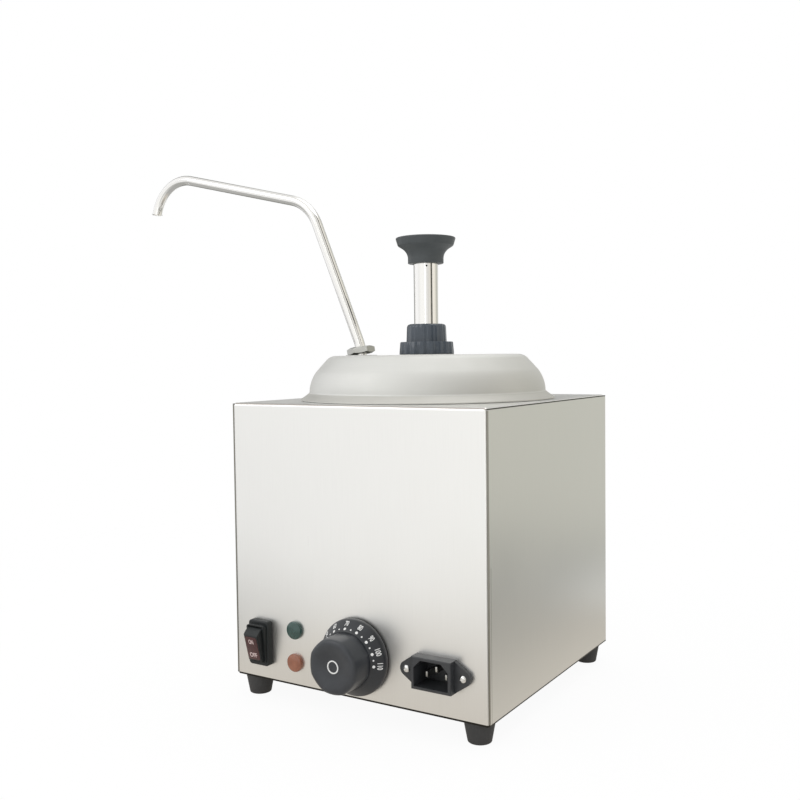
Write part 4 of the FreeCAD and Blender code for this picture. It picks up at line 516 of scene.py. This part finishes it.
# %% Finishes for the nodes
NODE_FINISHES = {
    casing_steel: ["casing_wrap", "base_plate"],
    side_steel: ["left_side_panel", "right_side_panel"],
    lid_steel: ["lid"],
    pot_steel: ["product_pot", "water_tank"],
    tube_steel: [
        "plunger_tube", "spout_tube", "spout_nut", "spout_washer", "pump_cylinder", "outlet_elbow",
        "union_nut", "inlet_ball", "outlet_ball", "return_spring", "ball_cage", "piston_pin",
    ],
    bright_plate: ["inlet_screws", "inlet_pins", "thermostat_spindle"],
    zinc_plate: [
        "foot_screws", "foot_nuts", "back_screws", "thermostat_screws", "inlet_nuts", "bulb_clips",
        "lamp_clips", "cutout_nuts", "earth_stud", "earth_nut", "heater_washers",
    ],
    heater_sheath: ["heating_element"],
    turned_brass: ["heater_nuts", "switch_terminals", "thermostat_capillary"],
    foot_rubber: ["rubber_feet"],
    seal_rubber: ["piston_seals", "collar_gasket"],
    collar_plastic: ["collar_nut"],
    knob_plastic: ["plunger_knob"],
    dial_plastic: ["dial_knob"],
    cone_plastic: ["dial_skirt"],
    switch_plastic: ["switch_housing", "switch_hood", "rocker_paddle"],
    inlet_plastic: ["inlet_body"],
    rocker_red: ["rocker_face"],
    green_lens: ["green_lamp_lens"],
    red_lens: ["red_lamp_lens"],
    pump_plastic: ["valve_body", "piston"],
    inner_plastic: ["thermostat_body", "lamp_bodies", "thermal_cutout"],
}
for look, names in NODE_FINISHES.items():
    for name in names:
        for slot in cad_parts[name].material_slots:
            slot.material = look
left = set(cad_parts) - {name for names in NODE_FINISHES.values() for name in names}
print("nodes without a finish:", sorted(left))

# %% [markdown]
# ## The workbench
# Round things are drawn as a half outline that is spun about its axis, as on a lathe. The outline starts
# from a plane that is merged to one point, and grows by extruding that point from corner to corner. A
# bevel of single points rounds the corners before the spin. Nothing else is selected while this goes on,
# because an operator acts on all that is selected.

# %% Helpers that add, pick and measure
MM = 0.001
FULL = 2 * math.pi
# How near points are merged, in metres, and how near one counts as found, in millimetres
WELD, NEAR = 1e-6, 0.01


def add(kind, name, **how):
    """Adds a primitive with nothing else selected."""
    bpy.ops.object.select_all(action="DESELECT")
    getattr(bpy.ops.mesh, f"primitive_{kind}_add")(**how)
    piece = bpy.context.object
    piece.name = piece.data.name = name
    return piece


def choose(piece):
    """Selects one piece alone and makes it active."""
    bpy.ops.object.select_all(action="DESELECT")
    piece.select_set(True)
    bpy.context.view_layer.objects.active = piece


def edit(kind="VERT"):
    """Opens edit mode with points or edges, all selected."""
    bpy.ops.object.mode_set(mode="EDIT")
    bpy.ops.mesh.select_mode(type=kind)
    bpy.ops.mesh.select_all(action="SELECT")


def pick(piece, test, kind="verts"):
    """Selects only what has a middle that passes a test, in millimetres."""
    bpy.ops.mesh.select_all(action="DESELECT")
    mesh = bmesh.from_edit_mesh(piece.data)
    for item in getattr(mesh, kind):
        corners = [item.co] if kind == "verts" else [corner.co for corner in item.verts]
        if test(sum(corners, Vector()) / len(corners) / MM):
            item.select_set(True)
    bmesh.update_edit_mesh(piece.data)


def push(way):
    """Extrudes what is selected along a way in metres."""
    bpy.ops.mesh.extrude_region_move(TRANSFORM_OT_translate={"value": way})


def round_edges(piece, test, radius, steps):
    """Rounds the edges whose middles pass a test."""
    pick(piece, test, "edges")
    bpy.ops.mesh.bevel(offset=radius * MM, segments=steps, affect="EDGES")


def close_up():
    """Merges doubled points, turns the faces outwards and leaves edit mode."""
    bpy.ops.mesh.select_all(action="SELECT")
    bpy.ops.mesh.remove_doubles(threshold=WELD)
    bpy.ops.mesh.normals_make_consistent(inside=False)
    bpy.ops.object.mode_set(mode="OBJECT")


# %% The lathe
def turned(name, corners, steps=96):
    """Spins a closed outline about Z. A corner is (radius, height), or has a rounding and its steps too."""
    piece = add("plane", name, size=MM)
    edit()
    bpy.ops.mesh.merge(type="CENTER")
    points = [Vector((corner[0], 0, corner[1])) for corner in corners]
    bpy.ops.transform.translate(value=points[0] * MM)
    for start, end in zip(points, points[1:] + points[:1]):
        push((end - start) * MM)
    bpy.ops.mesh.select_all(action="SELECT")
    bpy.ops.mesh.remove_doubles(threshold=WELD)
    for corner, point in zip(corners, points):
        if len(corner) > 2:
            pick(piece, lambda middle: (middle - point).length < NEAR)
            bpy.ops.mesh.bevel(offset=corner[2] * MM, segments=corner[3], affect="VERTICES")
    bpy.ops.mesh.select_all(action="SELECT")
    bpy.ops.mesh.spin(steps=steps, angle=FULL, center=(0, 0, 0), axis=(0, 0, 1))
    close_up()
    return piece


# %% Moving, cutting and finishing
def settle(piece, place=None, turn=None):
    """Turns a piece, moves it to a place in millimetres, and puts all of it into its mesh."""
    choose(piece)
    if turn is not None:
        piece.rotation_euler = turn
    if place is not None:
        piece.location = Vector(place) * MM
    bpy.ops.object.transform_apply(location=True, rotation=True, scale=True)


def on_panel(piece, across, up):
    """Stands a piece that was made upright on the front panel."""
    settle(piece, (across, -PANEL_OUT, up), (math.pi / 2, 0, 0))


def apply_to(piece, kind, **values):
    """Adds a modifier and applies it."""
    choose(piece)
    bpy.ops.object.modifier_add(type=kind)
    modifier = piece.modifiers[-1]
    for name, value in values.items():
        setattr(modifier, name, value)
    bpy.ops.object.modifier_apply(modifier=modifier.name)


def cut(piece, tool):
    """Cuts a piece with a tool and removes the tool."""
    apply_to(piece, "BOOLEAN", object=tool, operation="DIFFERENCE", solver="EXACT")
    bpy.data.objects.remove(tool)


def joined(pieces, name):
    """Joins pieces to one with a name of its own."""
    choose(pieces[0])
    for piece in pieces:
        piece.select_set(True)
    bpy.ops.object.join()
    whole = bpy.context.object
    whole.name = whole.data.name = name
    return whole


def finish(piece, look, body, slot, *nodes, smooth=30):
    """Smooths a piece, gives it its finish, and says what it rides on and stands for."""
    choose(piece)
    bpy.ops.object.shade_smooth_by_angle(angle=math.radians(smooth))
    piece.data.materials.clear()
    piece.data.materials.append(look)
    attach(piece, body)
    if nodes:
        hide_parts(*nodes)
    print(piece.name, len(piece.data.polygons), "faces, rides on", body)


PANEL_OUT = 100.0
CASING_TOP = 206.0
print("bench ready")

# %% [markdown]
# ## The lid
# The lid is spun from one sheet: a flat brim edge, a cone, a small step, a tall rounded side and a flat
# top. Its outline is one closed line of the sheet's outside and inside, with large bevels at the two
# rounded corners. The hole for the spout is cut afterwards, with a plain cylinder as the punch.

# %% The lid
LID_TOP = CASING_TOP + 32
SHEET = 0.8
SPOUT_HOLE_AT, SPOUT_HOLE = -57.85, 5.2
lid = turned("lid_dome", [
    (92.4, 206.3),
    (92.4, 206.9, 0.25, 3),
    (87.0, 210.7, 0.8, 3),
    (86.0, 211.9, 0.4, 3),
    (86.0, 221.18, 8.6, 14),
    (70.64, LID_TOP, 3.6, 10),
    (15.3, LID_TOP),
    (15.3, LID_TOP - SHEET),
    (70.3, LID_TOP - SHEET, 3.2, 8),
    (85.2, 220.8, 8.2, 12),
    (85.2, 211.5),
    (86.3, 210.2),
    (91.3, 206.3),
], steps=192)
punch = add("cylinder", "spout_punch", vertices=48, radius=SPOUT_HOLE * MM, depth=6 * MM,
            location=(SPOUT_HOLE_AT * MM, 0, LID_TOP * MM))
cut(lid, punch)
finish(lid, lid_steel, "lid", "lid_steel", "lid", smooth=24)

# %% [markdown]
# ## The pump's knob and tube
# The knob is one moulding: a short collar round the tube, a flare like a trumpet, and a rounded rim with
# a shallow dome. The tube below it is drawn steel with a small vent hole just under the knob. The
# hole is a real one, because its dark dot shows in the middle of the bright tube.

# %% The knob
KNOB_BASE, KNOB_SOCKET = 304.4, 14
TUBE_OUT, TUBE_IN = 8.9, 7.9
knob = turned("pump_knob", [
    (TUBE_OUT, KNOB_BASE),
    (13.0, KNOB_BASE, 0.6, 3),
    (13.0, KNOB_BASE + 5.4, 1.6, 4),
    (14.9, KNOB_BASE + 9.6, 2.6, 6),
    (20.35, KNOB_BASE + 13.1, 0.6, 4),
    (22.0, KNOB_BASE + 18.6, 0.8, 5),
    (20.4, KNOB_BASE + 19.0, 0.8, 3),
    (10.0, KNOB_BASE + 19.4, 2.0, 3),
    (0, KNOB_BASE + 19.5),
    (0, KNOB_BASE + KNOB_SOCKET),
    (TUBE_OUT, KNOB_BASE + KNOB_SOCKET),
])
finish(knob, knob_plastic, "plunger", "knob_plastic", "plunger_knob")

# %% The plunger's tube
TUBE_LOW = 180.1
VENT_ROUND, VENT_DOWN, VENT_TURN = 0.65, 2.1, math.radians(-56.0)
tube = turned("pump_tube", [
    (TUBE_IN, TUBE_LOW), (TUBE_OUT, TUBE_LOW),
    (TUBE_OUT, KNOB_BASE + KNOB_SOCKET), (TUBE_IN, KNOB_BASE + KNOB_SOCKET),
], steps=128)
drill = add("cylinder", "vent_drill", vertices=24, radius=VENT_ROUND * MM, depth=12 * MM)
settle(drill, (9 * math.cos(VENT_TURN), 9 * math.sin(VENT_TURN), KNOB_BASE - VENT_DOWN),
       (0, math.pi / 2, VENT_TURN))
cut(tube, drill)
finish(tube, tube_steel, "plunger", "tube_steel", "plunger_tube")

# %% [markdown]
# ## The return spring
# Inside the pump a spring lifts the plunger again. It starts as a small ring, as thick as the wire, that
# a screw modifier winds upwards. As the plunger goes down the spring has to get shorter; here it is
# wound at one length between its seats.

# %% The return spring
COIL_ROUND, WIRE, TURNS = 7.4, 0.8, 7
SPRING_LOW, SPRING_HIGH = 110.26, 167.95

spring = add("circle", "return_coil", vertices=12, radius=WIRE * MM, rotation=(math.pi / 2, 0, 0),
             location=(COIL_ROUND * MM, 0, (SPRING_LOW + WIRE) * MM))
settle(spring)
apply_to(spring, "SCREW", angle=FULL, screw_offset=(SPRING_HIGH - SPRING_LOW - 2 * WIRE) / TURNS * MM,
         iterations=TURNS, steps=36, render_steps=36)
edit("EDGE")
bpy.ops.mesh.fill_holes(sides=0)
close_up()
finish(spring, tube_steel, "lid", "tube_steel", "return_spring", smooth=40)
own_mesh(spring)

# %% [markdown]
# ## The collar
# The pump is held by a nut in two steps. The wide step has eighteen grip lobes with narrow notches between
# them, and the cap above it has shallow flutes. Both start as a circle with a fixed number of points to
# each notch. The points in the middle of each notch are drawn in towards the axis, and the outline is
# then extruded upwards and narrowed, which keeps every wall straight.


# %% Rims and walls
def rim(name, radius, height, points):
    """Starts a flat disc with a number of points round its rim, in edit mode."""
    piece = add("circle", name, vertices=points, radius=radius * MM, location=(0, 0, height * MM),
                fill_type="NGON")
    settle(piece)
    edit()
    return piece


def draw_in(piece, sides, per_side, step, share, height):
    """Draws in the rim's points that lie a number of steps from the middle of a side."""
    def on_step(middle):
        turn = math.atan2(middle.y, middle.x) / FULL * sides * per_side
        off = abs((turn + per_side / 2) % per_side - per_side / 2)
        return middle.xy.length > 1 and abs(off - step) < 0.1
    pick(piece, on_step)
    bpy.ops.transform.resize(value=(share, share, 1), center_override=(0, 0, height * MM))


def raise_wall(levels):
    """Extrudes the disc through levels of (height, width share)."""
    bpy.ops.mesh.select_all(action="SELECT")
    for (low, before), (high, after) in zip(levels, levels[1:]):
        push((0, 0, (high - low) * MM))
        bpy.ops.transform.resize(value=(after / before, after / before, 1),
                                 center_override=(0, 0, high * MM))
    close_up()


def fluted(name, radius, count, per_flute, depths, levels, hole):
    """Makes a ring with flutes, whose depths are given from their middles outwards."""
    base = levels[0][0]
    piece = rim(name, radius, base, count * per_flute)
    for step, deep in enumerate(depths):
        draw_in(piece, count, per_flute, step, 1 - deep / radius, base)
    raise_wall(levels)
    cut(piece, add("cylinder", "bore", vertices=96, radius=hole * MM, depth=80 * MM,
                   location=(0, 0, base * MM)))
    return piece


# %% The collar's two steps
FLUTES = 18
SEAT_ROUND = 15.0
grip_ring = fluted("collar_grip", 19.7, FLUTES, 10, (0.75, 0.6, 0.2), [
    (238.5, 0.985), (239.0, 1.0), (246.9, 0.968), (247.5, 0.95),
], SEAT_ROUND)
finish(grip_ring, collar_plastic, "lid", "collar_plastic", "collar_nut", smooth=35)
cap_ring = fluted("collar_cap", 14.8, FLUTES, 8, (0.35, 0.22, 0.06), [
    (247.3, 1.0), (258.1, 0.968), (259.3, 0.945), (260.1, 0.895), (260.5, 0.82),
], 8.95)
finish(cap_ring, collar_plastic, "lid", "collar_plastic", "collar_nut", smooth=35)

# %% The gasket under the collar
GASKET_OUT, GASKET_LOW, GASKET_HIGH = 20.1, LID_TOP + 0.05, LID_TOP + 0.45
gasket = turned("collar_seal", [
    (SEAT_ROUND, GASKET_LOW), (GASKET_OUT, GASKET_LOW), (GASKET_OUT, GASKET_HIGH, 0.15, 3),
    (SEAT_ROUND, GASKET_HIGH),
])
finish(gasket, seal_rubber, "lid", "clear_seal", "collar_gasket")

# %% [markdown]
# ## The spout
# The spout is one bent tube, so it is made as a pipe bender makes it. A ring of points is pushed straight
# ahead by extruding, and swung round a bend by a spin about the bend's centre, turn by turn. A solidify
# modifier then gives the tube its wall, and the mouth stays open.

# %% The bent tube
# Where the tube starts, how far it leans there, the corners of its middle line and each bend's radius
SPOUT_START = (-40.43, 127.95)
SPOUT_LEAN = math.radians(9.0)
SPOUT_CORNERS = [(-59.2, 246.5), (-105.1, 357.87), (-266.4, 398.08), (-274.11, 364.68)]
SPOUT_BENDS = [30.0, 36.0, 34.0]
SPOUT_RADIUS, SPOUT_WALL = 4.0, 0.8
BEND_STEPS = 18

spout = add("circle", "spout_pipe", vertices=48, radius=SPOUT_RADIUS * MM)
here = Vector((SPOUT_START[0], 0, SPOUT_START[1]))
settle(spout, here, (0, -SPOUT_LEAN, 0))
edit()
corners = [Vector((x, 0, z)) for x, z in SPOUT_CORNERS]
for index, corner in enumerate(corners):
    ahead = (corner - here).normalized()
    if index == len(corners) - 1:
        push((corner - here) * MM)
        break
    onward = (corners[index + 1] - corner).normalized()
    turn = ahead.angle(onward)
    reach = SPOUT_BENDS[index] * math.tan(turn / 2)
    stop = corner - ahead * reach
    push((stop - here) * MM)
    axis = ahead.cross(onward).normalized()
    middle = stop + axis.cross(ahead) * SPOUT_BENDS[index]
    bpy.ops.mesh.spin(steps=BEND_STEPS, angle=-turn, center=middle * MM, axis=axis)
    here = corner + onward * reach
close_up()
apply_to(spout, "SOLIDIFY", thickness=SPOUT_WALL * MM, offset=-1.0)
edit()
close_up()
finish(spout, tube_steel, "lid", "tube_steel", "spout_tube", smooth=40)


# %% The nut and the washer at the spout's foot
def hex_nut(name, flats, tall, hole, chamfer=0.7):
    """Makes a six-sided nut whose corners are turned down at both ends."""
    corner, face, slope = flats / math.sqrt(3), flats / 2 - chamfer, chamfer * 2.2
    nut = add("cylinder", name, vertices=6, radius=corner * MM, depth=tall * MM,
              location=(0, 0, tall / 2 * MM))
    settle(nut)
    cut(nut, turned("turner", [
        (corner + 4, -1), (corner + 4, tall + 1), (face, tall + 1), (face, tall),
        (corner + 1.2, tall - slope), (corner + 1.2, slope), (face, 0), (face, -1),
    ], steps=72))
    cut(nut, add("cylinder", "bore", vertices=48, radius=hole * MM, depth=4 * tall * MM))
    return nut


# The outlet tower's foot, across and up, and how far from it the nut sits along the lean
OUTLET, NUT_ALONG = (-38.23, 114.1), 126.85
spout_nut = hex_nut("spout_hex", 18.6, 5.2, SPOUT_RADIUS + 0.02)
across = OUTLET[0] - NUT_ALONG * math.sin(SPOUT_LEAN)
up = OUTLET[1] + NUT_ALONG * math.cos(SPOUT_LEAN)
settle(spout_nut, (across, 0, up), (0, -SPOUT_LEAN, 0))
finish(spout_nut, satin_steel, "lid", "tube_steel", "spout_nut", smooth=20)
WASHER_IN, WASHER_OUT, WASHER_TOP = 5.3, 11.8, LID_TOP + 0.55
washer = turned("spout_ring", [
    (WASHER_IN, LID_TOP), (WASHER_OUT, LID_TOP, 0.2, 2), (WASHER_OUT, WASHER_TOP, 0.2, 3),
    (WASHER_IN, WASHER_TOP),
], steps=72)
settle(washer, (SPOUT_HOLE_AT, 0, 0))
finish(washer, satin_steel, "lid", "tube_steel", "spout_washer")

# %% [markdown]
# ## The thermostat's dial
# The dial has two parts on one spindle: a thin cone that carries the numbers, and a tall grip with eight
# soft flats and a dished face. The grip starts as a circle of 96 points, twelve to a flat. Each point is
# drawn in by how far a flat arc lies inside the round, so the corners stay soft.

# %% The number cone
# The spindle's place on the panel, and the cone's lower and upper edge: radius and how far it stands out
DIAL = (3.4, 42.5)
RIM, RIM_DEEP = 25.4, 4.4
CONE_TOP, CONE_DEEP = 18.8, 11.4
skirt = turned("dial_cone", [
    (23.4, 0.6), (25.0, 0.6, 0.3, 3), (RIM, RIM_DEEP, 1.6, 6), (CONE_TOP, CONE_DEEP, 0.6, 4),
    (3.0, CONE_DEEP), (3.0, 9.4), (17.6, 9.4), (23.4, 3.4),
], steps=144)
on_panel(skirt, *DIAL)
finish(skirt, cone_plastic, "dial", "dial_plastic", "dial_skirt")

# %% The grip
SIDES, PER_SIDE = 8, 12
# Radius at the corners and in the middle of a flat, and the flat's own large radius
GRIP, FLATS, FLAT_ROUND = 18.3, 17.3, 45.0
# How far the grip follows its flats, and how far it stays round
FLAT_SHARE, ROUND_SHARE = 0.55, 0.45
# The wall from the cone to the dished middle: how far it stands out, and its width share
GRIP_WALL = [(CONE_DEEP, 1.0), (25.0, 1.0), (26.6, 0.981), (27.6, 0.938), (27.95, 0.88), (28.0, 0.82),
             (27.7, 0.72), (27.2, 0.60), (26.6, 0.47), (26.1, 0.33), (26.0, 0.20)]
grip = rim("dial_grip", GRIP, CONE_DEEP, SIDES * PER_SIDE)
for step in range(PER_SIDE // 2 + 1):
    angle = FULL / SIDES * step / PER_SIDE
    away = FLAT_ROUND - FLATS
    flat = math.sqrt(FLAT_ROUND ** 2 - (away * math.sin(angle)) ** 2) - away * math.cos(angle)
    reach = min(GRIP, FLAT_SHARE * flat + ROUND_SHARE * GRIP)
    draw_in(grip, SIDES, PER_SIDE, step, reach / GRIP, CONE_DEEP)
raise_wall(GRIP_WALL)
on_panel(grip, *DIAL)
finish(grip, dial_plastic, "dial", "dial_plastic", "dial_knob", smooth=38)
RING_IN, RING_OUT, RING_LOW, RING_HIGH = 3.45, 4.25, 25.9, 26.55
ring = turned("dial_ring", [
    (RING_IN, RING_LOW), (RING_OUT, RING_LOW), (RING_OUT, RING_HIGH, 0.2, 2), (RING_IN, RING_HIGH, 0.2, 2),
], steps=64)
on_panel(ring, *DIAL)
finish(ring, mark_white, "dial", "dial_plastic")

# %% [markdown]
# ## The numbers
# The scale is printed on the cone. Each number is a text turned into a mesh before it is placed, made
# narrow and a little bold, and laid on the slope with its top outwards. Large dots stand under the
# numbers and small dots between them. All marks are joined to one piece that turns with the dial.

# %% The print on the cone
SLOPE = Vector((RIM - CONE_TOP, RIM_DEEP - CONE_DEEP)).normalized()
NUMBERS = {110: -3.2, 100: 19.3, 90: 43.4, 80: 69.0, 70: 95.5, 60: 121.5, 50: 144.0, 40: 167.0, 30: 190.5}
DOT_ROUND, NUMBER_ROUND = 20.1, 22.95
LARGE_DOT, SMALL_DOT, OFF_MARK = 0.95, 0.56, -112
DIGIT_WIDE, DIGIT_TALL = 1.45, 3.7
# How thick the print is, and how far dots and numbers stand off the cone
INK, DOT_LIFT, NUMBER_LIFT = 0.12, 0.02, 0.04
marks = []


def lay_on_cone(piece, around_deg, distance, lift):
    """Lays a mark on the cone, with its top outwards, and keeps it."""
    angle = math.radians(around_deg)
    front, outward = Vector((0, -1, 0)), Vector((math.cos(angle), 0, math.sin(angle)))
    depth = CONE_DEEP - (distance - CONE_TOP) * (CONE_DEEP - RIM_DEEP) / (RIM - CONE_TOP)
    upward = outward * SLOPE.x + front * SLOPE.y
    normal = front * SLOPE.x - outward * SLOPE.y
    turn = Matrix((upward.cross(normal), upward, normal)).transposed().to_euler()
    place = Vector((DIAL[0], -PANEL_OUT, DIAL[1])) + outward * distance + front * depth
    settle(piece, place + normal * lift, turn)
    marks.append(piece)


def dot(radius, around_deg, points=24):
    """Lays a dot on the cone."""
    lay_on_cone(add("cylinder", "dot", vertices=points, radius=radius * MM, depth=INK * MM),
                around_deg, DOT_ROUND, DOT_LIFT)


def printed(words, wide, tall):
    """Makes a flat word in mesh, of a given width and height, about its own middle."""
    bpy.ops.object.select_all(action="DESELECT")
    bpy.ops.object.text_add()
    text = bpy.context.object
    text.data.body = words
    text.data.align_x, text.data.align_y = "CENTER", "CENTER"
    text.data.offset, text.data.extrude, text.data.resolution_u = 0.015, 0.02, 3
    bpy.ops.object.convert(target="MESH")
    text = bpy.context.object
    low = [min(corner[axis] for corner in text.bound_box) for axis in range(3)]
    high = [max(corner[axis] for corner in text.bound_box) for axis in range(3)]
    scale = (wide / (high[0] - low[0]), tall / (high[1] - low[1]), INK / (high[2] - low[2]))
    edit()
    bpy.ops.transform.translate(value=[-(a + b) / 2 for a, b in zip(low, high)])
    bpy.ops.transform.resize(value=[part * MM for part in scale], center_override=(0, 0, 0))
    bpy.ops.mesh.remove_doubles(threshold=WELD)
    bpy.ops.object.mode_set(mode="OBJECT")
    return text


# %% Dots and numbers
angles = list(NUMBERS.values())
for number, angle in NUMBERS.items():
    dot(LARGE_DOT, angle)
    wide = DIGIT_WIDE * len(str(number))
    lay_on_cone(printed(str(number), wide, DIGIT_TALL), angle, NUMBER_ROUND, NUMBER_LIFT)
for first, second in zip(angles, angles[1:]):
    dot(SMALL_DOT, (first + second) / 2, points=16)
dot(LARGE_DOT, OFF_MARK)
scale_marks = joined(marks, "dial_marks")
finish(scale_marks, mark_white, "dial", "dial_plastic")

# %% [markdown]
# ## The rocker switch
# The paddle is a block that turns about a pin. Its two ends are rounded about that pin, so that it swings
# free in its slot. A coloured plate lies on its face, and the words are raised a hair above the plate.
# All three are made level and then tipped together about the pin.

# %% The paddle and its plate
PIVOT = (-75.8, -103.4, 40.3)
TIP = math.radians(15)
PADDLE_WIDE, PADDLE_HALF, FACE_OUT = 11.9, 9.41, 8.0
PLATE_WIDE, PLATE_THICK, PLATE_TALL = 10.3, 0.6, 17.2


def at_corner(wide, tall):
    """Makes a test for the edges at a block's four corners, seen from the front."""
    return lambda middle: abs(middle.x) > wide / 2 - 0.1 and abs(middle.z) > tall / 2 - 0.1


paddle = add("cylinder", "rocker", vertices=96, radius=math.hypot(PADDLE_HALF, FACE_OUT) * MM,
             depth=PADDLE_WIDE * MM, rotation=(0, math.pi / 2, 0))
settle(paddle)
for flat, normal in ((-FACE_OUT, (0, -1, 0)), (1.0, (0, 1, 0))):
    edit()
    bpy.ops.mesh.bisect(plane_co=(0, flat * MM, 0), plane_no=normal, use_fill=True, clear_outer=True)
    bpy.ops.object.mode_set(mode="OBJECT")
edit("EDGE")
round_edges(paddle, lambda middle: middle.y < -FACE_OUT + NEAR, 0.8, 5)
close_up()
settle(paddle, PIVOT, (TIP, 0, 0))
finish(paddle, switch_plastic, "rocker", "switch_plastic", "rocker_paddle", smooth=40)

plate = add("cube", "rocker_plate", size=MM, scale=(PLATE_WIDE, PLATE_THICK, PLATE_TALL))
settle(plate)
edit("EDGE")
round_edges(plate, at_corner(PLATE_WIDE, PLATE_TALL), 1.6, 6)
round_edges(plate, lambda middle: middle.y < -PLATE_THICK / 2 + NEAR, 0.18, 2)
close_up()
settle(plate, (0, -FACE_OUT, 0))
settle(plate, PIVOT, (TIP, 0, 0))
finish(plate, rocker_red, "rocker", "rocker_red", "rocker_face", smooth=40)

# %% The frame round the paddle
# Its front slants from FRAME_HIGH at the top to FRAME_LOW at the bottom, measured from the panel
FRAME_WIDE, FRAME_TALL, FRAME_FOOT, FRAME_HIGH, FRAME_LOW = 15.0, 26.4, 5.0, 8.6, 5.9
SLOT_WIDE, SLOT_TALL = 12.3, 25.0
surround = add("cube", "switch_frame", size=MM, scale=(FRAME_WIDE, FRAME_HIGH - FRAME_FOOT, FRAME_TALL))
settle(surround, (0, -(FRAME_HIGH + FRAME_FOOT) / 2, 0))
edit("EDGE")
round_edges(surround, at_corner(FRAME_WIDE, FRAME_TALL), 2.0, 6)
bpy.ops.mesh.select_all(action="SELECT")
slant = Vector((0, FRAME_TALL, FRAME_HIGH - FRAME_LOW)).normalized()
bpy.ops.mesh.bisect(plane_co=(0, -FRAME_LOW * MM, -FRAME_TALL / 2 * MM), plane_no=(0, -slant.y, -slant.z),
                    use_fill=True, clear_outer=True)
bpy.ops.object.mode_set(mode="OBJECT")
slot = add("cube", "slot", size=MM, scale=(SLOT_WIDE, 20, SLOT_TALL))
settle(slot)
cut(surround, slot)
settle(surround, (PIVOT[0], -PANEL_OUT, PIVOT[2]))
finish(surround, switch_plastic, "casing", "switch_plastic", "switch_hood", smooth=35)

# %% The words on the plate
LETTER_WIDE, LETTER_TALL = 2.1, 3.4
words = []
for text, up in (("ON", 5.0), ("OFF", -5.0)):
    word = printed(text, LETTER_WIDE * len(text), LETTER_TALL)
    settle(word, (0, -FACE_OUT - PLATE_THICK / 2 - 0.02, up), (math.pi / 2, 0, 0))
    settle(word, PIVOT, (TIP, 0, 0))
    words.append(word)
switch_words = joined(words, "switch_words")
finish(switch_words, letter_pink, "rocker", "rocker_red")

# %% [markdown]
# ## Lamps, screws and feet
# The two pilot lamps have clear caps with a rounded edge and a low dome. The inlet is held by two
# screws with rounded heads and a cross recess. The feet are turned rubber cones with a screw hole.

# %% The lamp caps
LAMPS_ACROSS = -46.9
CAP = [
    (5.4, 0.0), (6.2, 0.0), (6.2, 1.9, 0.5, 4), (5.6, 2.5, 0.6, 4), (3.4, 3.05, 2.0, 4),
    (0, 3.15), (0, 1.9), (4.6, 1.5), (4.8, -4.0), (5.4, -4.0),
]
for colour, look, up in (("green", green_lens, 52.3), ("red", red_lens, 30.0)):
    cap = turned(f"{colour}_cap", CAP, steps=72)
    on_panel(cap, LAMPS_ACROSS, up)
    finish(cap, look, "casing", f"lens_{colour}", f"{colour}_lamp_lens")

# %% The inlet's screws
INLET = (63.6, 41.8)
CROSS_TURN = 0.35
for aside in (-20, 20):
    screw = turned("inlet_screw", [
        (0, -8), (1.45, -8), (1.45, 3.0), (2.4, 3.0), (2.4, 3.5, 0.3, 3), (1.6, 4.5, 0.8, 5), (0, 4.65),
    ], steps=64)
    for turn in (CROSS_TURN, CROSS_TURN + math.pi / 2):
        driver = add("cube", "driver", size=MM, scale=(3.0, 0.6, 1.6))
        settle(driver, (0, 0, 4.8), (0, 0, turn))
        cut(screw, driver)
    on_panel(screw, INLET[0] + aside, INLET[1])
    finish(screw, bright_plate, "casing", "plated_steel", "inlet_screws", smooth=40)

# %% The inlet's pins
PINS = [(-7.0, -2.0), (7.0, -2.0), (0.0, 2.0)]
for aside, up in PINS:
    pin = add("cube", "inlet_pin", size=MM, scale=(2.0, 4.0, 25.0))
    settle(pin, (0, 0, -11.5))
    edit("EDGE")
    round_edges(pin, lambda middle: middle.z > 0.9, 0.7, 4)
    close_up()
    on_panel(pin, INLET[0] + aside, INLET[1] + up)
    finish(pin, satin_steel, "casing", "plated_steel", "inlet_pins", smooth=40)

# %% The feet
FEET_ACROSS, FEET_DEEP = (-87.6, 87.6), (-89.5, 89.5)
FOOT = [(4.4, 0.0, 0.3, 2), (7.5, 0.0, 0.8, 5), (10.1, 14.0, 0.4, 3), (2.4, 14.0), (2.4, 6.0), (4.6, 6.0)]
for across in FEET_ACROSS:
    for deep in FEET_DEEP:
        foot = turned("foot", FOOT)
        settle(foot, (across, deep, 0))
        finish(foot, foot_rubber, "casing", "black_rubber", "rubber_feet")
